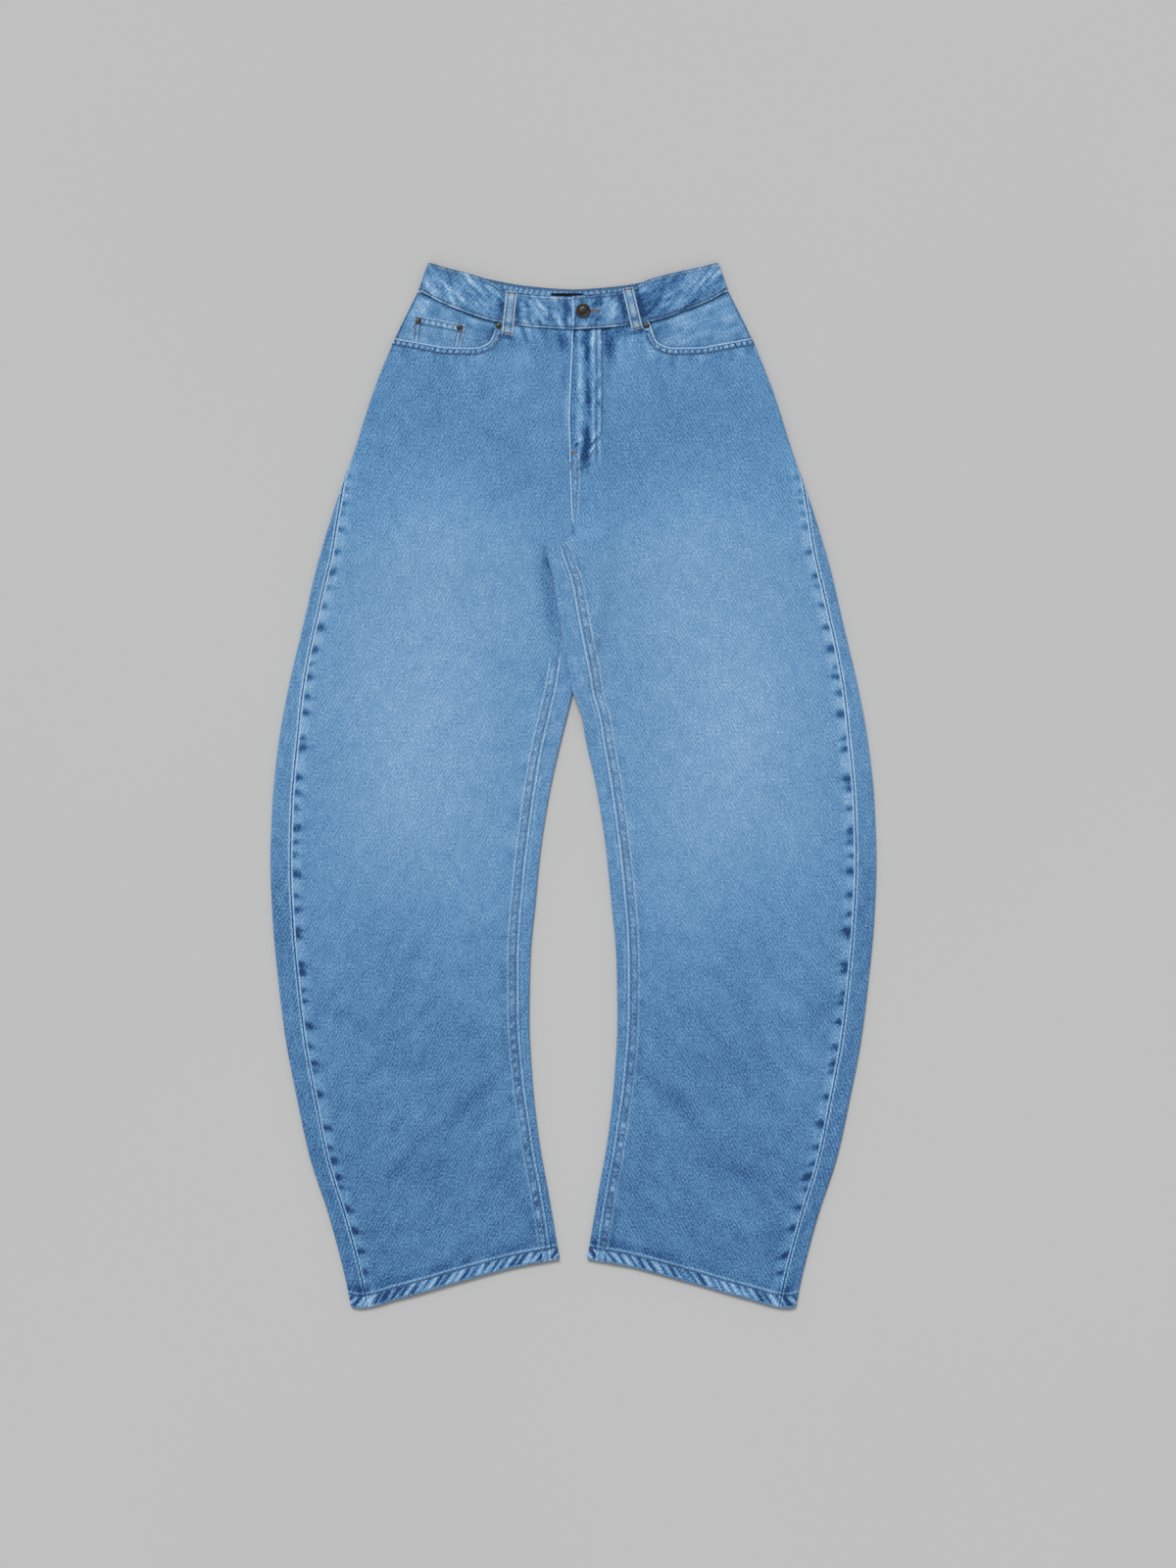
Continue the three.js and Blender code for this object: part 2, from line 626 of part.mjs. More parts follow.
// The coin pocket lies on the facing, with its hemmed mouth at the top.
function coinPocket(leg) {
  const top = { inner: { a: 116, h: 1062 }, outer: { a: 171.2, h: 1072.4 } };
  const bottom = { inner: 125, outer: 176 };
  const raise = CLOTH + SEAM_GAP;
  const shares = [0, 0.35, 0.7, 1];
  const topHeight = (share) => THREE.MathUtils.lerp(top.inner.h, top.outer.h, share);
  const across = (share) => (h) => {
    const high = THREE.MathUtils.lerp(top.inner.a, top.outer.a, share);
    const low = THREE.MathUtils.lerp(bottom.inner, bottom.outer, share);
    return THREE.MathUtils.lerp(low, high, ramp(h, 1030, topHeight(share)));
  };
  const edgeRow = (edge) => shares.map((share) => {
    const h = settle((a) => edge(a, share), across(share), 1050);
    return facingSpot(leg, across(share)(h), h, raise);
  });
  const hemmed = (row) => row.map((spot) => ({ ...spot, relief: COIN_RELIEF }));
  const grid = [
    edgeRow((a) => mouthEdge(a) - COIN_TUCK),
    edgeRow((a) => mouthEdge(a) + FACING_RISE[0]),
    edgeRow((a, share) => Math.min(mouthEdge(a) + FACING_RISE[1], topHeight(share) - COIN_HEM - 1)),
    hemmed(edgeRow((a, share) => topHeight(share) - COIN_HEM)),
    hemmed(edgeRow((a, share) => topHeight(share))),
  ];
  return wallFrom(grid);
}

// A front belt loop: a folded strip over the band, sewn down at both ends. It stands a
// little off the band in the middle and steps down to the panel below the waist seam.
function frontLoop(leg, ends) {
  const thick = 1.2;
  const stepDown = 3.5;
  const bandFace = SEAT_LIFT + WAIST_FOLD_HEIGHT + SEAM_GAP;
  const panelFace = SEAT_LIFT + TORSO_HEIGHT + 2 * SEAM_GAP;
  const onBand = [[0, 0], [0.14, 0], [0.4, 1.1], [0.68, 0.9], [0.86, 0], [1, 0]];
  const column = (edge) => {
    const length = edge.top.h - edge.bottom.h;
    const seam = (edge.top.h - frontWaist(edge.bottom.a)) / length;
    const at = (t, z) => ({
      leg,
      a: THREE.MathUtils.lerp(edge.top.a, edge.bottom.a, t),
      h: THREE.MathUtils.lerp(edge.top.h, edge.bottom.h, t),
      z: z + thick,
      normal: [0, 1],
    });
    const upper = onBand.map(([share, rise]) => at(seam * share, bandFace + rise));
    return [...upper, at(seam + stepDown / length, panelFace), at(1, panelFace)];
  };
  const [inner, outer] = [column(ends.inner), column(ends.outer)];
  return wallFrom(inner.map((spot, i) => [spot, outer[i]]), thick);
}

// A flat patch on the underside, from its outline.
function flatPatch(leg, outline, thickness) {
  const shape = new THREE.Shape(outline.map(({ a, h }) => new THREE.Vector2(leg.side * a, h - MIDDLE)));
  return new THREE.ExtrudeGeometry(shape, { depth: thickness, bevelEnabled: false });
}

function backPocket(leg) {
  const outline = [
    { a: 40, h: 984 }, { a: 186, h: 992 }, { a: 178, h: 856 }, { a: 112, h: 824 }, { a: 46, h: 850 },
  ];
  return flatPatch(leg, outline, CLOTH);
}

function backLoop(leg, a, tilt) {
  const width = 11;
  const top = bandBackTop(a) - 1;
  const bottom = backWaist(a) - 10;
  const lean = Math.tan(tilt) * (top - bottom);
  const outline = [
    { a: a - width / 2, h: bottom }, { a: a + width / 2, h: bottom },
    { a: a + width / 2 - lean, h: top }, { a: a - width / 2 - lean, h: top },
  ];
  return flatPatch(leg, outline, 1.1);
}

// A turned metal part from its profile, standing on a height.
function turned(profile, segments, leg, a, h, z) {
  const geometry = new THREE.LatheGeometry(profile.map(([r, y]) => new THREE.Vector2(r, y)), segments);
  geometry.rotateX(Math.PI / 2);
  geometry.translate(leg.side * a, h - MIDDLE, z);
  return geometry;
}

const RIVET = [[0, 0], [2.9, 0], [3.3, 0.35], [2.6, 0.8], [1.4, 0.9], [0.9, 1.2], [0, 1.3]];
const BUTTON = [
  [0, 0], [4, 0], [4, 0.5], [7.2, 0.5], [7.8, 1], [7.8, 1.6], [7.1, 2.1], [5.9, 2.1],
  [5.4, 1.7], [3.6, 1.9], [0, 2.3],
];

function innerLabel() {
  const size = { x: 34, y: 11.5, z: CLOTH };
  const centre = { x: -7, h: 1090.8, z: SEAT_LIFT + BAND_CLOTH + SEAM_GAP + CLOTH / 2 };
  const geometry = new THREE.BoxGeometry(size.x, size.y, size.z);
  geometry.translate(centre.x, centre.h - MIDDLE, centre.z);
  return geometry;
}

const trousers = new THREE.Group();
const add = (name, geometry, material) => trousers.add(named(name, geometry, material));

for (const [leg, name] of [[RIGHT, 'right'], [LEFT, 'left']]) {
  add(`front_${name}`, frontPanel(leg), cloth(DENIM));
  add(`back_${name}`, backPanel(leg), cloth(DENIM));
  add(`yoke_${name}`, yoke(leg), cloth(DENIM));
  add(`waistband_${name}`, waistband(leg), cloth(DENIM_DARK));
  add(`pocket_facing_${name}`, pocketFacing(leg), cloth(DENIM_DARK));
  add(`back_pocket_${name}`, backPocket(leg), cloth(DENIM));
  add(`belt_loop_back_${name}`, backLoop(leg, 118, 0.12), cloth(DENIM_DARK));
}
add('coin_pocket', coinPocket(RIGHT), cloth(DENIM));
add('belt_loop_centre', backLoop(LEFT, CENTRE_BACK_SHIFT, 0), cloth(DENIM_DARK));
add('belt_loop_front_right', frontLoop(RIGHT, {
  inner: { top: { a: 60.4, h: 1097.5 }, bottom: { a: 65.7, h: 1050 } },
  outer: { top: { a: 72.3, h: 1099 }, bottom: { a: 77.5, h: 1052.3 } },
}), cloth(DENIM_DARK));
add('belt_loop_front_left', frontLoop(LEFT, {
  inner: { top: { a: 53, h: 1101.3 }, bottom: { a: 63.5, h: 1055.3 } },
  outer: { top: { a: 64.2, h: 1103 }, bottom: { a: 75.3, h: 1058.3 } },
}), cloth(DENIM_DARK));

const onCoin = FACING_HIGH + CLOTH + COIN_RELIEF + 2 * SEAM_GAP;
const onFront = SEAT_LIFT + TORSO_HEIGHT + SEAM_GAP;
const onLap = SEAT_LIFT + WAIST_FOLD_HEIGHT + LAP_RISE + SEAM_GAP;
add('rivet_coin_inner', turned(RIVET, 16, RIGHT, 123, 1059.7, onCoin), metal(BRASS));
add('rivet_coin_outer', turned(RIVET, 16, RIGHT, 167.5, 1066.4, onCoin), metal(BRASS));
add('rivet_mouth_right', turned(RIVET, 16, RIGHT, 80.5, 1061, onFront), metal(BRASS));
add('rivet_mouth_left', turned(RIVET, 16, LEFT, 79.5, 1061, onFront), metal(BRASS));
add('waist_button', turned(BUTTON, 32, LEFT, 10.6, 1077, onLap), metal(GUNMETAL));
add('inner_label', innerLabel(), cloth(LABEL));

export default trousers;
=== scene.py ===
"""Barrel leg jeans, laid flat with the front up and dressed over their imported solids.

The tables and the shape functions work in millimetres, in the frame of the solids: X runs
across, Y towards the waist and Z up from the surface that the jeans lie on. In the tables
h is the height above the lowest point of the hems, and a is the distance from the centre
line towards the leg's own side. A skin is the outer face of one piece of cloth.
"""
import math

import bpy
import numpy as np
from bpy.props import FloatProperty, FloatVectorProperty, PointerProperty
from bpy.types import Operator, Panel, PropertyGroup
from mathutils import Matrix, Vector


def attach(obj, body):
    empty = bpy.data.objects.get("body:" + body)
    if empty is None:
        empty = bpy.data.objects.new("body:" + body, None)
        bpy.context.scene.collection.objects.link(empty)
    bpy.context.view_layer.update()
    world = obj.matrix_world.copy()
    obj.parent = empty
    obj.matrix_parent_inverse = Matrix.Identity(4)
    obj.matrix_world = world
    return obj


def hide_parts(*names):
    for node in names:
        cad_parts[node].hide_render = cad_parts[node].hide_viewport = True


bl_info = {
    "name": "Barrel leg jeans",
    "version": (1, 0, 0),
    "blender": (4, 5, 0),
    "location": "View3D > Sidebar > Jeans",
    "description": "Denim, stitching and trims for a pair of barrel leg jeans laid flat",
    "category": "Object",
}

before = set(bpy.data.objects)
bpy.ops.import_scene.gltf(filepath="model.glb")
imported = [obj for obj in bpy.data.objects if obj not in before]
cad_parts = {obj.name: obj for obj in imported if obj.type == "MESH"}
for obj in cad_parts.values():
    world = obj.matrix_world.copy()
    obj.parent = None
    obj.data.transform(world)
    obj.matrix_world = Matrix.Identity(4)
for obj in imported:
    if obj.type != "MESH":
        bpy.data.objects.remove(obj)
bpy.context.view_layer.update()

MM = 0.001

# Cloth and seams
CLOTH = 1.0
SEAM_GAP = 0.3
HALF_GAP = 0.06
WAIST_GAP = 0.7
BAND_CLOTH = 2.2
HEM_DEPTH = 15.0
HEM_RELIEF = 0.7

# Whole garment
LENGTH = 1129.0
MIDDLE = LENGTH / 2
SEAT_LIFT = 1.4
TORSO_HEIGHT = 4.9
LEG_HEIGHT = 4.5
OVERLAP_CLEAR = 0.5
OVERLAP_RAMP = 26.0
CROTCH_RUN = 6
WAIST_FOLD_RADIUS = 3.0
LAP_RISE = BAND_CLOTH + SEAM_GAP
MOUTH_CORNER = 82.7
BUTTON_Y = 1077 - MIDDLE

# Grids: where the rows of the panels run straight across, and how far they follow the hem
STRAIGHT_FROM = 84.0
HEM_ROWS = 18
# Columns of a waistband half on its front, round its fold and on its back, its rows and the
# step from one column to the next on the cloth map
BAND_FRONT = 141
BAND_TURN = 9
BAND_BACK = 117
BAND_ROWS = 33
BAND_STEP = 1.3
PATCH_SHARE = np.linspace(0, 1, 45)

# Where the cloth maps of the pieces start, so that no two show the same grain
BACK_MAP = 400
FACING_MAP = 200
COIN_MAP = 300

# Stitches at the edges, in the waistband, on small pieces and below: length of each
EDGE_PITCH = 2.8
BAND_PITCH = 2.9
SHORT_PITCH = 2.6
UNDER_PITCH = 3.2
STITCH_SINK = 0.28

# Half width at the outer fold, and how far the side seam lies from it on top: h, fold, seam.
OUTER = [
    (0, 240, 19), (36, 247.5, 19), (100, 264.5, 19), (163, 285, 20.5), (227, 299, 21.5),
    (290, 311, 22), (354, 319, 22.5), (418, 325, 23), (481, 327.5, 23), (545, 325.4, 22.5),
    (608, 319, 21.5), (672, 307.5, 17), (736, 292.5, 14.5), (799, 277.7, 14.5),
    (863, 258.6, 7), (905, 244, 0.5), (926, 236.5, 0), (990, 216, 0), (1047, 193, 0),
    (1098, 168, 0),
]
# Inner fold of a leg, and how far the back comes round it on top: h, fold, wrap.
LOWER_INNER = [
    (53, 15, 10), (121, 26.5, 9), (184, 37.5, 9), (248, 44.5, 11), (312, 47.7, 12.5),
    (375, 46.6, 14), (439, 41, 16), (502, 34.5, 16), (566, 24, 17.7), (610, 14, 20),
]
UNDER_INNER = LOWER_INNER + [
    (665, 0.5, 20.5), (690, -5, 21.7), (736, -14, 25.7), (767, -19, 26), (804, -19, 20),
    (817, -8, 9), (829, 0, 0),
]
OVER_INNER = LOWER_INNER + [
    (640, 8.5, 20.5), (665, -0.5, 22.4), (689, -5, 23), (737, -13.8, 22.2), (760, -17.5, 21.6),
    (784, -21, 20.6), (804, -26, 18.8), (818, -29.4, 17.9), (827, -29.4, 12.4), (829.5, -22, 9.5),
    (832.5, -12, 6.8), (834.5, -5, 5), (836, 0.3, 3.2), (840, 0.3, 1.6), (844, 0.3, 0),
]
# Raised strip beside the inseam and the rise: h, width, relief.
UNDER_STRIP = [(0, 9.5, 0.7), (680, 9.5, 0.7), (719, 8, 0), (1100, 8, 0)]
OVER_STRIP = [
    (0, 9.5, 0.7), (784, 9.5, 0.7), (823, 8.5, 0.6), (832, 7, 0), (847, 2.5, 0), (854, 5, 0.3),
    (870, 7.7, 0.5), (896, 9.2, 0.5), (920, 9.2, 0.5), (927, 9.2, 0), (1100, 9.2, 0),
]
# How high the over leg is carried by the leg below it: h, share of the step, edge.
CARRY = [
    (612, 0, 22), (660, 1, 5), (690, 1, 11), (767, 1, 26), (822, 1, 26), (841, 0.62, 26),
    (862, 0.2, 26), (892, 0, 26),
]
# How far the edge of the fly leans from the centre line: h, lean.
FLY_LEAN = [
    (846, 0), (853, -1.6), (896, -3.4), (923, -4.2), (959, -5.3), (996, -4.2), (1030, -2.6),
    (1057, -1.7),
]
# Edges that run across: a, h.
FRONT_WAIST_SEAM = [(0, 1057), (40, 1059.5), (85, 1066), (125, 1079), (168, 1098), (200, 1112)]
BACK_WAIST_SEAM = [(0, 1066), (45, 1070), (92, 1077), (168, 1098), (200, 1107)]
BAND_TOP_RIGHT = [(-30, 1093.5), (0, 1093), (30, 1094), (69, 1099), (92, 1111), (157, 1129)]
BAND_TOP_LEFT = [(-5, 1093), (20, 1095), (53, 1099), (84, 1112), (157, 1129)]
BAND_TOP_BACK = [(-10, 1101), (0, 1101), (45, 1104), (92, 1112), (157, 1129)]
YOKE_SEAM = [(-10, 994), (0, 994), (190, 1058), (220, 1068)]
POCKET_MOUTH = [
    (82.7, 1065.5), (86, 1052), (93, 1042.5), (108, 1038), (135, 1038.5), (160, 1042.5),
    (193, 1048.5),
]
HEM_EDGE = [(14.5, 53), (59, 45), (119, 29.5), (190, 9.5), (232, 0), (241, 2)]
BACK_POCKET_FOOT = [(46, 850), (112, 824), (178, 856)]
BACK_POCKET_TOP = [(40, 984), (186, 992)]

# Heights of the puckers beside the side seam, and how strong each one is.
SIDE_PUCKERS = [
    (898, 0.4), (884, 0.5), (868, 0.6), (859, 0.5), (843, 0.7), (816, 0.8), (794, 0.9),
    (778, 0.6), (758, 0.8), (737, 1.0), (711, 1.1), (694, 0.6), (682, 1.0), (661, 0.9),
    (644, 1.1), (616, 0.8), (603, 1.0), (573, 1.1), (558, 0.9), (540, 0.8), (518, 1.2),
    (502, 0.8), (489, 0.8), (471, 1.1), (445, 0.9), (429, 0.9), (407, 1.1), (400, 0.7),
    (373, 0.9), (363, 1.0), (341, 0.7), (331, 0.8), (305, 1.1), (283, 0.8), (265, 1.0),
    (254, 0.7), (230, 0.9), (196, 1.1), (173, 0.8), (159, 0.9), (140, 1.1), (129, 0.7),
    (108, 0.9), (84, 1.1), (60, 1.0), (38, 0.8),
]
# Soft creases of a front leg: a, h, angle in degrees, half length, half width, depth.
FRONT_CREASES = [
    (70, 770, 38, 44, 9, -0.3), (96, 735, 44, 50, 10, 0.3), (60, 700, 52, 40, 8, -0.25),
    (150, 880, -20, 54, 12, -0.25), (110, 905, -32, 42, 9, 0.25), (70, 868, -40, 36, 7, -0.3),
    (190, 610, 68, 60, 20, 0.2), (150, 560, 76, 56, 18, -0.2), (225, 470, 80, 60, 16, -0.2),
    (120, 430, 64, 44, 12, 0.25), (200, 380, 40, 36, 11, -0.35), (150, 350, 24, 42, 10, 0.4),
    (110, 310, 42, 34, 9, -0.45), (230, 290, 52, 30, 10, 0.4), (186, 263, -7, 36, 8, -0.55),
    (120, 244, -45, 40, 9, 0.5), (240, 205, 60, 26, 9, -0.5), (165, 180, -20, 34, 9, 0.5),
    (108, 222, -45, 36, 7, -0.7), (200, 128, 30, 26, 8, 0.5), (186, 150, -18, 30, 7, -0.7),
    (222, 80, -12, 20, 6, -0.7), (90, 95, 60, 22, 6, 0.4), (170, 66, 14, 26, 6, 0.4),
    (120, 1000, -64, 32, 8, -0.3), (165, 985, -58, 36, 9, 0.35), (60, 985, -78, 32, 8, 0.3),
    (195, 930, -66, 44, 9, -0.3), (90, 640, 30, 36, 10, 0.2), (215, 720, 70, 50, 16, -0.2),
    (254, 317, 22, 26, 8, -0.5), (260, 400, 86, 40, 8, -0.3),
]
# Soft darker and paler marks on the tone: partly painted shade in the dips of creases and partly
# uneven wash; a, h, angle, half length, half width, amount.
SHADES = [
    (108, 224, -45, 50, 10, -0.1), (186, 148, -18, 40, 10, -0.09), (222, 78, -12, 24, 7, -0.1),
    (254, 317, 22, 36, 9, -0.08), (186, 263, -7, 48, 9, -0.07), (80, 698, 40, 26, 9, -0.05),
    (96, 402, -8, 42, 8, -0.05), (232, 500, 82, 44, 18, 0.04), (150, 205, 10, 40, 14, 0.04),
    (150, 110, -10, 50, 12, 0.04), (70, 150, 78, 60, 12, -0.07), (60, 260, 84, 50, 10, -0.06),
    (120, 1015, 80, 16, 8, 0.06), (60, 1025, 88, 20, 6, 0.08), (95, 1000, -70, 26, 8, -0.06),
    (40, 1035, 86, 18, 5, -0.1), (51, 1030, 84, 16, 4, 0.1), (150, 1012, -50, 30, 9, -0.05),
]
# Painted shadow on the under leg beside the over leg's fold at the crotch (a 22 to 30.5), beside
# the fly's fold (a 9 and 12) and under the low end of the belt loop (a 64 and 71.5); the other
# marks darken or lighten the tone.
RIGHT_SHADES = [
    (85, 942, 27, 20, 5, -0.07), (27.5, 807, 76, 13, 2.8, -0.34), (28, 780, 80, 36, 8.5, -0.22),
    (30.5, 805, 60, 3, 1.6, -0.25), (22, 735, 80, 30, 8, -0.12),
    (33, 936, 90, 34, 13, 0.07),
    (12, 1046, 80, 10, 6, -0.34), (6.5, 972, 90, 26, 3, 0.2), (9, 1000, 90, 16, 3, -0.12),
    (64, 1040, 0, 10, 5, -0.06), (71.5, 1048.4, 10, 8, 2.0, -0.5),
]
# The mark at a 69.5 is painted shadow under the low end of the belt loop; the other marks darken
# or lighten the tone.
LEFT_SHADES = [
    (40, 1040, 90, 16, 5, -0.26), (51, 1056, 60, 9, 6, -0.4), (69.5, 1054.2, 14, 8, 2.0, -0.5),
    (46, 996, 80, 40, 8, 0.04), (14, 840, 20, 22, 6, 0.06), (30, 826, 50, 22, 6, -0.05),
    (32, 938, 90, 34, 13, -0.05), (30, 992, 90, 18, 12, -0.04),
]
# Broad places where the wash has taken more or less colour out: a, h, half sizes, amount.
WASH_PLACES = [
    (165, 700, 92, 170, 0.11), (150, 520, 98, 110, 0.09), (190, 610, 66, 120, 0.03),
    (120, 820, 80, 50, 0.06), (40, 905, 46, 60, -0.045), (150, 960, 70, 40, -0.035),
    (95, 400, 40, 60, 0.05), (60, 775, 50, 60, 0.03), (58, 215, 24, 150, 0.055),
    (142, 866, 44, 34, 0.045),
    (120, 300, 90, 80, -0.03), (190, 190, 60, 90, -0.01), (225, 120, 30, 70, 0.02),
    (250, 330, 34, 120, 0.03), (80, 1010, 30, 30, 0.03),
]
WASH_BY_HEIGHT = [
    (0, 0.41), (60, 0.415), (150, 0.435), (250, 0.485), (340, 0.50), (400, 0.52), (460, 0.56),
    (560, 0.60), (700, 0.63), (820, 0.61), (900, 0.56), (1000, 0.54), (1060, 0.54),
]


# Curves

def through(rows, column=1):
    """A smooth curve through the rows of a table that never overshoots them."""
    ordered = sorted(rows)
    xs = np.array([row[0] for row in ordered], float)
    ys = np.array([row[column] for row in ordered], float)
    steps = np.diff(ys) / np.diff(xs)
    slopes = np.concatenate([steps[:1], np.zeros(len(xs) - 2), steps[-1:]])
    product = steps[:-1] * steps[1:]
    total = np.where(product > 0, steps[:-1] + steps[1:], 1)
    slopes[1:-1] = np.where(product > 0, 2 * product / total, 0)

    def curve(x):
        x = np.clip(x, xs[0], xs[-1])
        i = np.clip(np.searchsorted(xs, x, side="right") - 1, 0, len(xs) - 2)
        run = xs[i + 1] - xs[i]
        t = (x - xs[i]) / run
        rise = ys[i + 1] - ys[i]
        first = slopes[i] * run - rise
        second = rise - slopes[i + 1] * run
        return ys[i] + t * rise + t * (1 - t) * (first * (1 - t) + second * t)

    return curve


def between(rows, column=1):
    """Straight lines between the rows of a table."""
    xs = [row[0] for row in rows]
    ys = [row[column] for row in rows]
    return lambda x: np.interp(x, xs, ys)


def ramp(x, start, end):
    """From 0 at start to 1 at end, in a straight line."""
    return np.clip((x - start) / (end - start), 0, 1)


def ease(x, start, end):
    """From 0 at start to 1 at end, smoothly."""
    t = ramp(x, start, end)
    return t * t * (3 - 2 * t)


def fall(x, start, end):
    """From 1 at start to 0 at end, smoothly."""
    return 1 - ease(x, start, end)


def plateau(x, start, full, last, end):
    """Rises smoothly from start to full, and falls again from last to end."""
    return ease(x, start, full) * fall(x, last, end)


def bell(x, centre, width):
    """A soft bump, 1 at its centre."""
    return np.exp(-((x - centre) / width) ** 2)


def mix(low, high, share):
    return low + (high - low) * share


def uneven(along, seed):
    """An uneven run of puckers along a seam, from -1 in a dip to 1 on a rib."""
    wave = np.sin(along * 0.92 + seed) + 0.8 * np.sin(along * 0.66 + 2.1 * seed + 1)
    wave = wave + 0.5 * np.sin(along * 1.47 + 3.3 * seed)
    return np.tanh(1.2 * wave)


def patchy(x, y, wide, tall, seed):
    """Soft uneven patches of about a given size, from -1 to 1."""
    across, up = x / wide + 0 * y, y / tall + 0 * x
    i, j = np.floor(across), np.floor(up)
    u, v = across - i, up - j
    u, v = u * u * (3 - 2 * u), v * v * (3 - 2 * v)

    def chance(di, dj):
        value = np.sin((i + di) * 12.9898 + (j + dj) * 78.233 + seed * 37.719) * 4375.85453
        return 2 * (value - np.floor(value)) - 1

    return mix(mix(chance(0, 0), chance(1, 0), u), mix(chance(0, 1), chance(1, 1), u), v)


def mottled(x, y, wide, tall, seed):
    """Patches with smaller ones among them."""
    small = patchy(x, y, 0.45 * wide, 0.45 * tall, seed + 3.3)
    return patchy(x, y, wide, tall, seed) + 0.55 * small


def leaning(x, y, angle):
    """A place measured along a leaning direction, and square to it."""
    turn = math.radians(angle)
    along = x * math.cos(turn) + y * math.sin(turn)
    return along, y * math.cos(turn) - x * math.sin(turn)


def marks(a, h, table):
    """Sum of soft marks, each at its place with its angle, size and amount."""
    total = 0 * a
    for at_a, at_h, angle, length, width, amount in table:
        along, off = leaning(a - at_a, h - at_h, angle)
        total = total + amount * np.exp(-((along / length) ** 2) - (off / width) ** 2)
    return total


outer_fold = through(OUTER, 1)
side_seam = through(OUTER, 2)
front_waist_curve = through(FRONT_WAIST_SEAM)
back_waist_curve = through(BACK_WAIST_SEAM)
band_top_back = through(BAND_TOP_BACK)
yoke_seam = through(YOKE_SEAM)
mouth_edge = through(POCKET_MOUTH)
hem_edge = through(HEM_EDGE)
pocket_foot = between(BACK_POCKET_FOOT)
pocket_top = between(BACK_POCKET_TOP)
carry_share = through(CARRY, 1)
fly_lean = through(FLY_LEAN)
carry_edge = between(CARRY, 2)
wash_by_height = through(WASH_BY_HEIGHT)


def front_waist(a):
    return front_waist_curve(np.abs(a))


def back_waist(a):
    return back_waist_curve(np.abs(a))


def panel_edge(a):
    """The waist seam of a front panel, then the pocket mouth."""
    return np.where(a < MOUTH_CORNER, front_waist(a), mouth_edge(a))


def front_top(a):
    return panel_edge(a) - WAIST_GAP


def height(h):
    """How high the laid cloth stands, from the underside to the top."""
    return mix(LEG_HEIGHT, TORSO_HEIGHT, ramp(h, 790, 850))


def seat_lift(h):
    return SEAT_LIFT * ramp(h, 767, 804)


# Legs

class Leg:
    """One leg with its half of the hips and the waist."""

    def __init__(self, name, side, inner, strip, crotch, band_top, inseam_top, shades):
        self.name = name
        self.side = side
        self.over = side > 0
        self.inner_fold = through(inner, 1)
        self.wrap = through(inner, 2)
        self.strip_width = between(strip, 1)
        self.strip_relief = between(strip, 2)
        self.crotch = crotch
        self.band_top = through(band_top)
        self.inseam_top = inseam_top
        self.shades = SHADES + shades
        self.seed = 0.7 if self.over else 2.9
        self.cloth_start = 900.0 if self.over else 0.0

    def centre_back(self, h):
        return self.side * 6 * ramp(h, 900, 1066)

    def lift(self, a, h):
        """Lift of the cloth above the surface: over the back pockets and the other leg."""
        seat = seat_lift(h)
        if not self.over:
            return seat
        step = (height(h) + OVERLAP_CLEAR) * carry_share(h)
        edge = np.maximum(carry_edge(h), self.inner_fold(h) + height(h))
        return seat + step * fall(a, edge, edge + OVERLAP_RAMP)

    def turn(self, h):
        """How far the cloth turns round the inner fold: half a turn below the crotch."""
        low, _, high = self.crotch
        return math.pi * (1 - ramp(h, low, high))

    def in_crotch(self, h, below, at_low, at_middle, at_high, above):
        """A value with its own run through the crotch."""
        low, middle, high = self.crotch
        inside = np.interp(h, [low, middle, high], [at_low, at_middle, at_high])
        return np.where(h <= low, below, np.where(h >= high, above, inside))

    def inner_start(self, h):
        """Where the cloth leaves the underside to turn round the inner fold."""
        low, middle, high = self.crotch
        fold = lambda at: self.inner_fold(at) + height(at) / 2
        seam = HALF_GAP + CROTCH_RUN
        centre = self.centre_back(h) + seam
        return self.in_crotch(h, fold(h), fold(low), fold(middle), seam, centre)

    def inner_straight(self, h):
        """How far the cloth runs on after the turn, to the inseam or centre back."""
        low, middle, _ = self.crotch
        run = lambda at: np.maximum(self.wrap(at) - height(at) / 2 - HALF_GAP, 0.6)
        up = height(middle) / 2 - SEAM_GAP
        return self.in_crotch(h, run(h), run(low), up, CROTCH_RUN, CROTCH_RUN)

    def front_seam(self, h):
        """Inner edge of the front panel: the inseam, or centre front."""
        below = self.inner_fold(h) + self.wrap(h) + HALF_GAP
        centre = HALF_GAP + self.side * fly_lean(h)
        return np.where(h < self.crotch[2], below, centre)


RIGHT = Leg(
    "right", -1, UNDER_INNER, UNDER_STRIP, crotch=(804, 817, 829),
    band_top=BAND_TOP_RIGHT, inseam_top=712, shades=RIGHT_SHADES,
)
LEFT = Leg(
    "left", 1, OVER_INNER, OVER_STRIP, crotch=(836, 840, 844),
    band_top=BAND_TOP_LEFT, inseam_top=827, shades=LEFT_SHADES,
)
LEGS = (RIGHT, LEFT)


# Places on the cloth. Each gives a, z and the direction (across, up) that the skin faces.

def rolled(distance, turn, radius):
    """A point at a distance along cloth that rolls through an angle, then runs straight."""
    on_roll = np.clip(distance, 0, turn * radius)
    angle = on_roll / radius
    rest = distance - on_roll
    out = radius * np.sin(angle) + rest * np.cos(angle)
    up = radius * (1 - np.cos(angle)) + rest * np.sin(angle)
    return out, up, np.sin(angle), -np.cos(angle)


def on_outer_fold(leg, distance, h):
    radius = height(h) / 2
    out, up, across, rise = rolled(distance, math.pi, radius)
    a = outer_fold(h) - radius + out
    return a, up + leg.lift(a, h), across, rise


def front_length(leg, h):
    """From the inner edge of the front panel to the side seam, along the cloth."""
    radius = height(h) / 2
    flat = outer_fold(h) - radius - leg.front_seam(h)
    return math.pi * radius / 2 + flat - side_seam(h) - HALF_GAP


